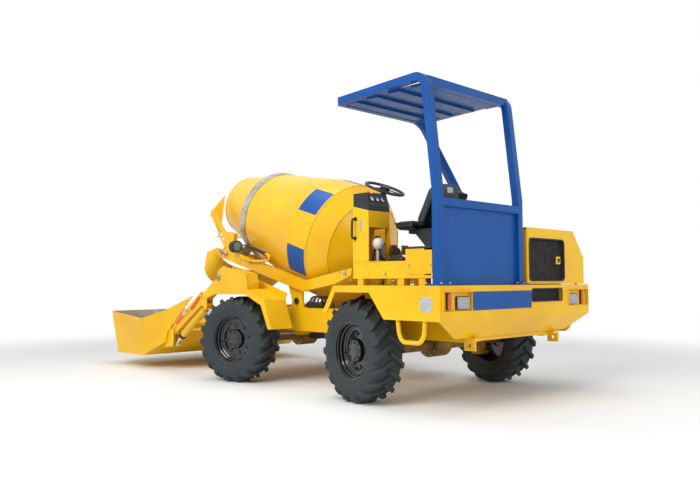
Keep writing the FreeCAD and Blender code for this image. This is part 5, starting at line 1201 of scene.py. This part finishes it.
class MIXER_OT_arm_fittings(PieceMaker, bpy.types.Operator):
    """Safety props with reflectors, pin caps and cylinder glands of the loader"""
    bl_idname = "mixer.arm_fittings"
    bl_label = "Loader fittings"

    def make(self, sizes, colours):
        props, strips, heads, caps = [], [], [], []
        for side in SIDES:
            props.append(self.strap(side, (1.3, 0.792), (1.872, 0.421), 0.042, ARM_OUT, PROP_OUT - ARM_OUT))
            strips.append(self.strap(side, (1.345, 0.755), (1.508, 0.626), 0.03, PROP_OUT, TAPE_T))
            strips.append(self.strap(side, (1.649, 0.562), (1.785, 0.4755), 0.03, PROP_OUT, TAPE_T))
            heads += [(at(x, side * PROP_OUT, z), (0, side, 0)) for x, z in ((1.318, 0.779),
                (1.578, 0.609))]
            caps.append(rod(at(0.985, side * 0.902, 0.932), at(0.985, side * 0.91, 0.932), 0.03, 0.003))
            heads.append((at(0.985, side * 0.91, 0.932), (0, side, 0)))
        finished(props, "safety_props", "arms", "yellow enamel")
        covers = []
        for side in SIDES:
            y_in, y_out = sorted((side * 0.77, side * 0.888))
            covers.append(block(at(0.546, y_in, 0.824), at(0.55, y_out, 0.882), 0.001))
            covers.append(plate(rounded(0.118, 0.087, 0.002), 0.004,
                turned_to((0, 1, 0), (0.022, 0, 0.083), at(0.5565, side * 0.829, 0.9205))))
        finished(covers, "tower_covers", "chassis", "yellow enamel")
        finished(strips, "safety_reflectors", "arms", "reflector", slot="lamp")
        finished(bolts(heads[:2] + heads[3:5], 0.017), "safety_prop_bolts", "arms", "zinc")
        finished(caps, "arm_pin_caps", "chassis", "zinc")
        finished(bolts([heads[2], heads[5]], 0.022), "arm_pin_bolts", "chassis", "zinc")
        for name, body, base, eye, reach, radius, places in (("tilt", "tilt_barrels", (1.26, 0.665),
                (1.846, 0.274), 0.56, 0.035, (CYLINDER_Y, -CYLINDER_Y)),
                ("lift", "lift_barrels", (0.612, 0.858), (0.9305, 0.8481), 0.225, 0.03,
                (CYLINDER_Y, -CYLINDER_Y)), ("jack", "jack_barrel", (-0.42, 0.47), (-0.345, 0.885), 0.285,
                0.032, (0.0,))):
            self.glands(name, body, base, eye, reach, radius, places)

    def strap(self, side, start, end, width, y, thick):
        """A flat bar on the arm's outer face between two points in X and Z."""
        first, last = at(start[0], side * y, start[1]), at(end[0], side * y, end[1])
        way = (last - first).normalized()
        out = Vector((0, side, 0))
        return plate(rounded((last - first).length, width, min(width, 0.03) * 0.49), thick,
            turned_to(way, out.cross(way), (first + last) / 2), 0.001)

    def glands(self, name, body, base, eye, reach, radius, places):
        """The rod's gland, the end cap and the oil ports of one kind of cylinder."""
        rings, ports = [], []
        for y in places:
            foot, head = at(base[0], y, base[1]), at(eye[0], y, eye[1])
            way = (head - foot).normalized()
            up = Vector((0, 1, 0)).cross(way) * -1
            if up.z < 0:
                up = -up
            rings.append(spun([(radius - 0.002, reach - 0.034), (radius + 0.003, reach - 0.034),
                (radius + 0.003, reach + 0.001), (radius - 0.004, reach + 0.004),
                (radius * 0.62, reach + 0.004), (radius * 0.62, reach - 0.01)], along(foot, head), 48))
            for s in (0.095, reach - 0.052):
                port = foot + way * s + up * (radius - 0.003)
                ports.append(rod(port, port + up * 0.014, 0.0085, 0.0015, 20))
        finished(rings, name + "_glands", body, "cast iron")
        finished(ports, name + "_ports", body, "zinc")


class MIXER_OT_bucket_fittings(PieceMaker, bpy.types.Operator):
    """Worn liner, cutting edge and bolts of the bucket"""
    bl_idname = "mixer.bucket_fittings"
    bl_label = "Bucket fittings"

    def make(self, sizes, colours):
        line = [(2.967, 0.566), (2.8125, 0.144), (2.2615, 0.144), (1.9375, 0.295), (1.914, 0.387)]
        points = [tuple(at(x - 0.001, side * (0.971 - max(0.0, 2.28 - x) * 0.2), z + 0.0015))
            for x, z in line for side in SIDES]
        faces = [(k, k + 1, k + 3, k + 2) for k in range(0, 2 * len(line) - 2, 2)]
        sheets = [walled(meshed(points, faces), 0.001, 0.0)]
        for side in SIDES:
            rim = [(2.962, 0.563), (2.8125, 0.145), (2.2615, 0.145), (1.9375, 0.296), (1.916, 0.385),
                (1.6, 0.722), (1.93, 0.602), (2.3, 0.508)]
            wall = [tuple(at(x, side * (0.9705 - max(0.0, 2.28 - x) * 0.2), z)) for x, z in rim]
            fold_low, fold_high = at(2.28, side * 0.9705, 0.145), at(2.28, side * 0.9705, 0.511)
            wall += [tuple(fold_low), tuple(fold_high)]
            sheets.append(walled(meshed(wall, [(0, 1, 2, 8, 9, 7), (8, 3, 4, 5, 6, 9)]), 0.001, 0.0))
        # The liner's pale colour is partly painted glare, partly cement film.
        finished(sheets, "bucket_liner", "bucket", "scoured plate with painted glare", smooth=20)
        down = Vector((-0.3438, 0, -0.939))
        out = Vector((0.939, 0, -0.3438))
        top = at(2.97, 0.0, 0.572) + down * 0.055
        edge = plate(rounded(1.958, 0.11, 0.006), 0.01, turned_to((0, 1, 0), down, top - out * 0.0095),
            0.0015)
        finished(edge, "cutting_edge", "bucket", "rolled steel")
        heads = [(top + Vector((0, -0.88 + 0.22 * k, 0)) + down * 0.022 + out * 0.0007, out)
            for k in range(9)]
        finished(bolts(heads, 0.02, False), "cutting_edge_bolts", "bucket", "zinc")


# Running gear, engine ------------

FAN_Y, FAN_Z = -0.4025, 1.03
AIR_Y, AIR_Z, AIR_R = -0.585, 1.02, 0.075


class MIXER_OT_engine_fittings(PieceMaker, bpy.types.Operator):
    """Rocker cover, filters, pulleys and pipes on the engine"""
    bl_idname = "mixer.engine_fittings"
    bl_label = "Engine fittings"

    def make(self, sizes, colours):
        cover = block(at(-1.4, -0.4, 1.219), at(-1.0, -0.24, 1.262), 0.012)
        ribs = [block(at(-1.38 + 0.055 * k, -0.385, 1.26), at(-1.362 + 0.055 * k, -0.255, 1.266), 0.002)
            for k in range(7)]
        finished((cover, *ribs), "rocker_cover", "chassis", "black plastic")
        tubes = [pipe(route((-1.36 + 0.09 * k, -0.4, 1.235), (-1.36 + 0.09 * k, -0.435, 1.24),
            (-1.34 + 0.085 * k, -0.47, 1.225), (-1.33 + 0.08 * k, -0.4905, 1.19)), 0.005) for k in range(4)]
        finished(tubes, "injector_lines", "chassis", "zinc")
        air = rod(at(-1.4, AIR_Y, AIR_Z), at(-1.12, AIR_Y, AIR_Z), AIR_R, 0.01, 40)
        bands = [spun(band(AIR_R - 0.001, AIR_R + 0.004, 0.0, 0.008),
            along(at(x, AIR_Y, AIR_Z), at(x + 0.1, AIR_Y, AIR_Z)), 40) for x in (-1.36, -1.16)]
        duct = pipe(route((-1.12, AIR_Y, AIR_Z), (-1.06, -0.58, 1.02), (-1.03, -0.56, 1.08),
            (-1.03, -0.5, 1.12), (-1.03, -0.485, 1.12)), 0.03)
        finished((air, duct, *bands), "air_cleaner", "chassis", "black plastic")
        oil = rod(at(-1.22, -0.488, 0.93), at(-1.22, -0.56, 0.93), 0.042, 0.008, 32)
        finished(oil, "oil_filter", "chassis", "white plastic")
        battery = block(at(-1.02, -0.9, 0.862), at(-0.84, -0.66, 1.03), 0.006)
        posts = [rod(at(-0.98, y, 1.028), at(-0.98, y, 1.046), 0.009, 0.002, 16) for y in (-0.86, -0.7)]
        finished((battery, *posts), "battery", "chassis", "black plastic")
        silencer = rod(at(-1.4, -0.8, 0.96), at(-1.08, -0.8, 0.96), 0.07, 0.014, 40)
        finished(silencer, "silencer", "chassis", "cast iron")
        shroud = spun(band(0.15, 0.185, 0.0225, 0.0225), along(at(-1.545, FAN_Y, FAN_Z),
            at(-1.4, FAN_Y, FAN_Z)), 48)
        finished(shroud, "fan_shroud", "chassis", "black plastic")
        blade_places = [Matrix.Translation(at(-1.52, FAN_Y, FAN_Z)) @ Matrix.Rotation(math.radians(60 * k),
            4, "X") for k in range(6)]
        fan = copies(block((-0.006, -0.02, 0.03), (0.006, 0.02, 0.14), 0.003), blade_places)
        finished(fan, "cooling_fan", "chassis", "white plastic")


STEER_X, STEER_Z = 0.715, 0.405


class MIXER_OT_running_gear_fittings(PieceMaker, bpy.types.Operator):
    """Steering rods, drive shaft, valve hoses and bolts under the machine"""
    bl_idname = "mixer.running_gear_fittings"
    bl_label = "Running gear fittings"

    def make(self, sizes, colours):
        shaft = [rod(at(-0.6, 0, AXLE_Z), at(0.6, 0, AXLE_Z), 0.028, 0.003)]
        shaft += [rod(at(side * 0.6, 0, AXLE_Z), at(side * 0.722, 0, AXLE_Z), 0.042, 0.006)
            for side in SIDES]
        shaft += [rod(at(side * 0.53, 0, AXLE_Z), at(side * 0.6, 0, AXLE_Z), 0.036, 0.004, 8)
            for side in SIDES]
        finished(shaft, "drive_shaft", "chassis", "cast iron")
        heads = []
        for x in (-AXLE_X, AXLE_X):
            for k in range(10):
                angle = math.radians(36 * k)
                heads += [(at(x + 0.088 * math.cos(angle), side * 0.09, AXLE_Z + 0.088 * math.sin(angle)),
                    (0, side, 0)) for side in SIDES]
        finished(bolts(heads, 0.014), "axle_case_bolts", "chassis", "zinc")
        cylinders = [rod(at(x, -0.2, STEER_Z), at(x, 0.2, STEER_Z), 0.026, 0.004)
            for x in (-STEER_X, STEER_X)]
        finished(cylinders, "steering_cylinders", "chassis", "yellow enamel")
        rods = [rod(at(x, -0.5, STEER_Z), at(x, 0.5, STEER_Z), 0.011, 0.001, 20)
            for x in (-STEER_X, STEER_X)]
        finished(rods, "steering_rods", "chassis", "chrome")
        lines = [pipe(route((0.05 + 0.05 * k, 0.465, 0.712), (0.05 + 0.05 * k, 0.465, 0.745),
            (0.03 + 0.045 * k, 0.43, 0.765), (-0.02 + 0.04 * k, 0.4, 0.74), (-0.05 + 0.04 * k, 0.4, 0.62)),
            0.0075) for k in range(4)]
        finished(lines, "valve_hoses", "chassis", "hose rubber")


class MIXER_PT_panel(bpy.types.Panel):
    """Sizes, colours and every step of the mixer, in the order they run"""
    bl_idname = "MIXER_PT_panel"
    bl_label = "Self-loading mixer"
    bl_space_type = "VIEW_3D"
    bl_region_type = "UI"
    bl_category = "Mixer"

    def draw(self, context):
        column = self.layout.column()
        for group in (context.scene.mixer_sizes, context.scene.mixer_colours):
            for key in group.__annotations__:
                column.prop(group, key)
        for step in STEPS:
            column.operator(step.bl_idname)


STEPS = (MIXER_OT_stage, MIXER_OT_finishes, MIXER_OT_wheels, MIXER_OT_tail_lamps, MIXER_OT_plates,
    MIXER_OT_grilles, MIXER_OT_hood_fittings, MIXER_OT_console_fittings, MIXER_OT_platform_fittings,
    MIXER_OT_seat, MIXER_OT_roll_frame_fittings, MIXER_OT_drum_fittings, MIXER_OT_drum_frame_fittings,
    MIXER_OT_gearmotor_fittings, MIXER_OT_arm_fittings, MIXER_OT_bucket_fittings, MIXER_OT_engine_fittings,
    MIXER_OT_running_gear_fittings)
CLASSES = (MixerSizes, MixerColours) + STEPS + (MIXER_PT_panel,)


def register():
    for item in CLASSES:
        bpy.utils.register_class(item)
    bpy.types.Scene.mixer_sizes = PointerProperty(type=MixerSizes)
    bpy.types.Scene.mixer_colours = PointerProperty(type=MixerColours)


def unregister():
    del bpy.types.Scene.mixer_colours
    del bpy.types.Scene.mixer_sizes
    for item in reversed(CLASSES):
        bpy.utils.unregister_class(item)


def main():
    register()
    for step in STEPS:
        group, name = step.bl_idname.split(".")
        getattr(getattr(bpy.ops, group), name)()


if __name__ == "__main__":
    main()
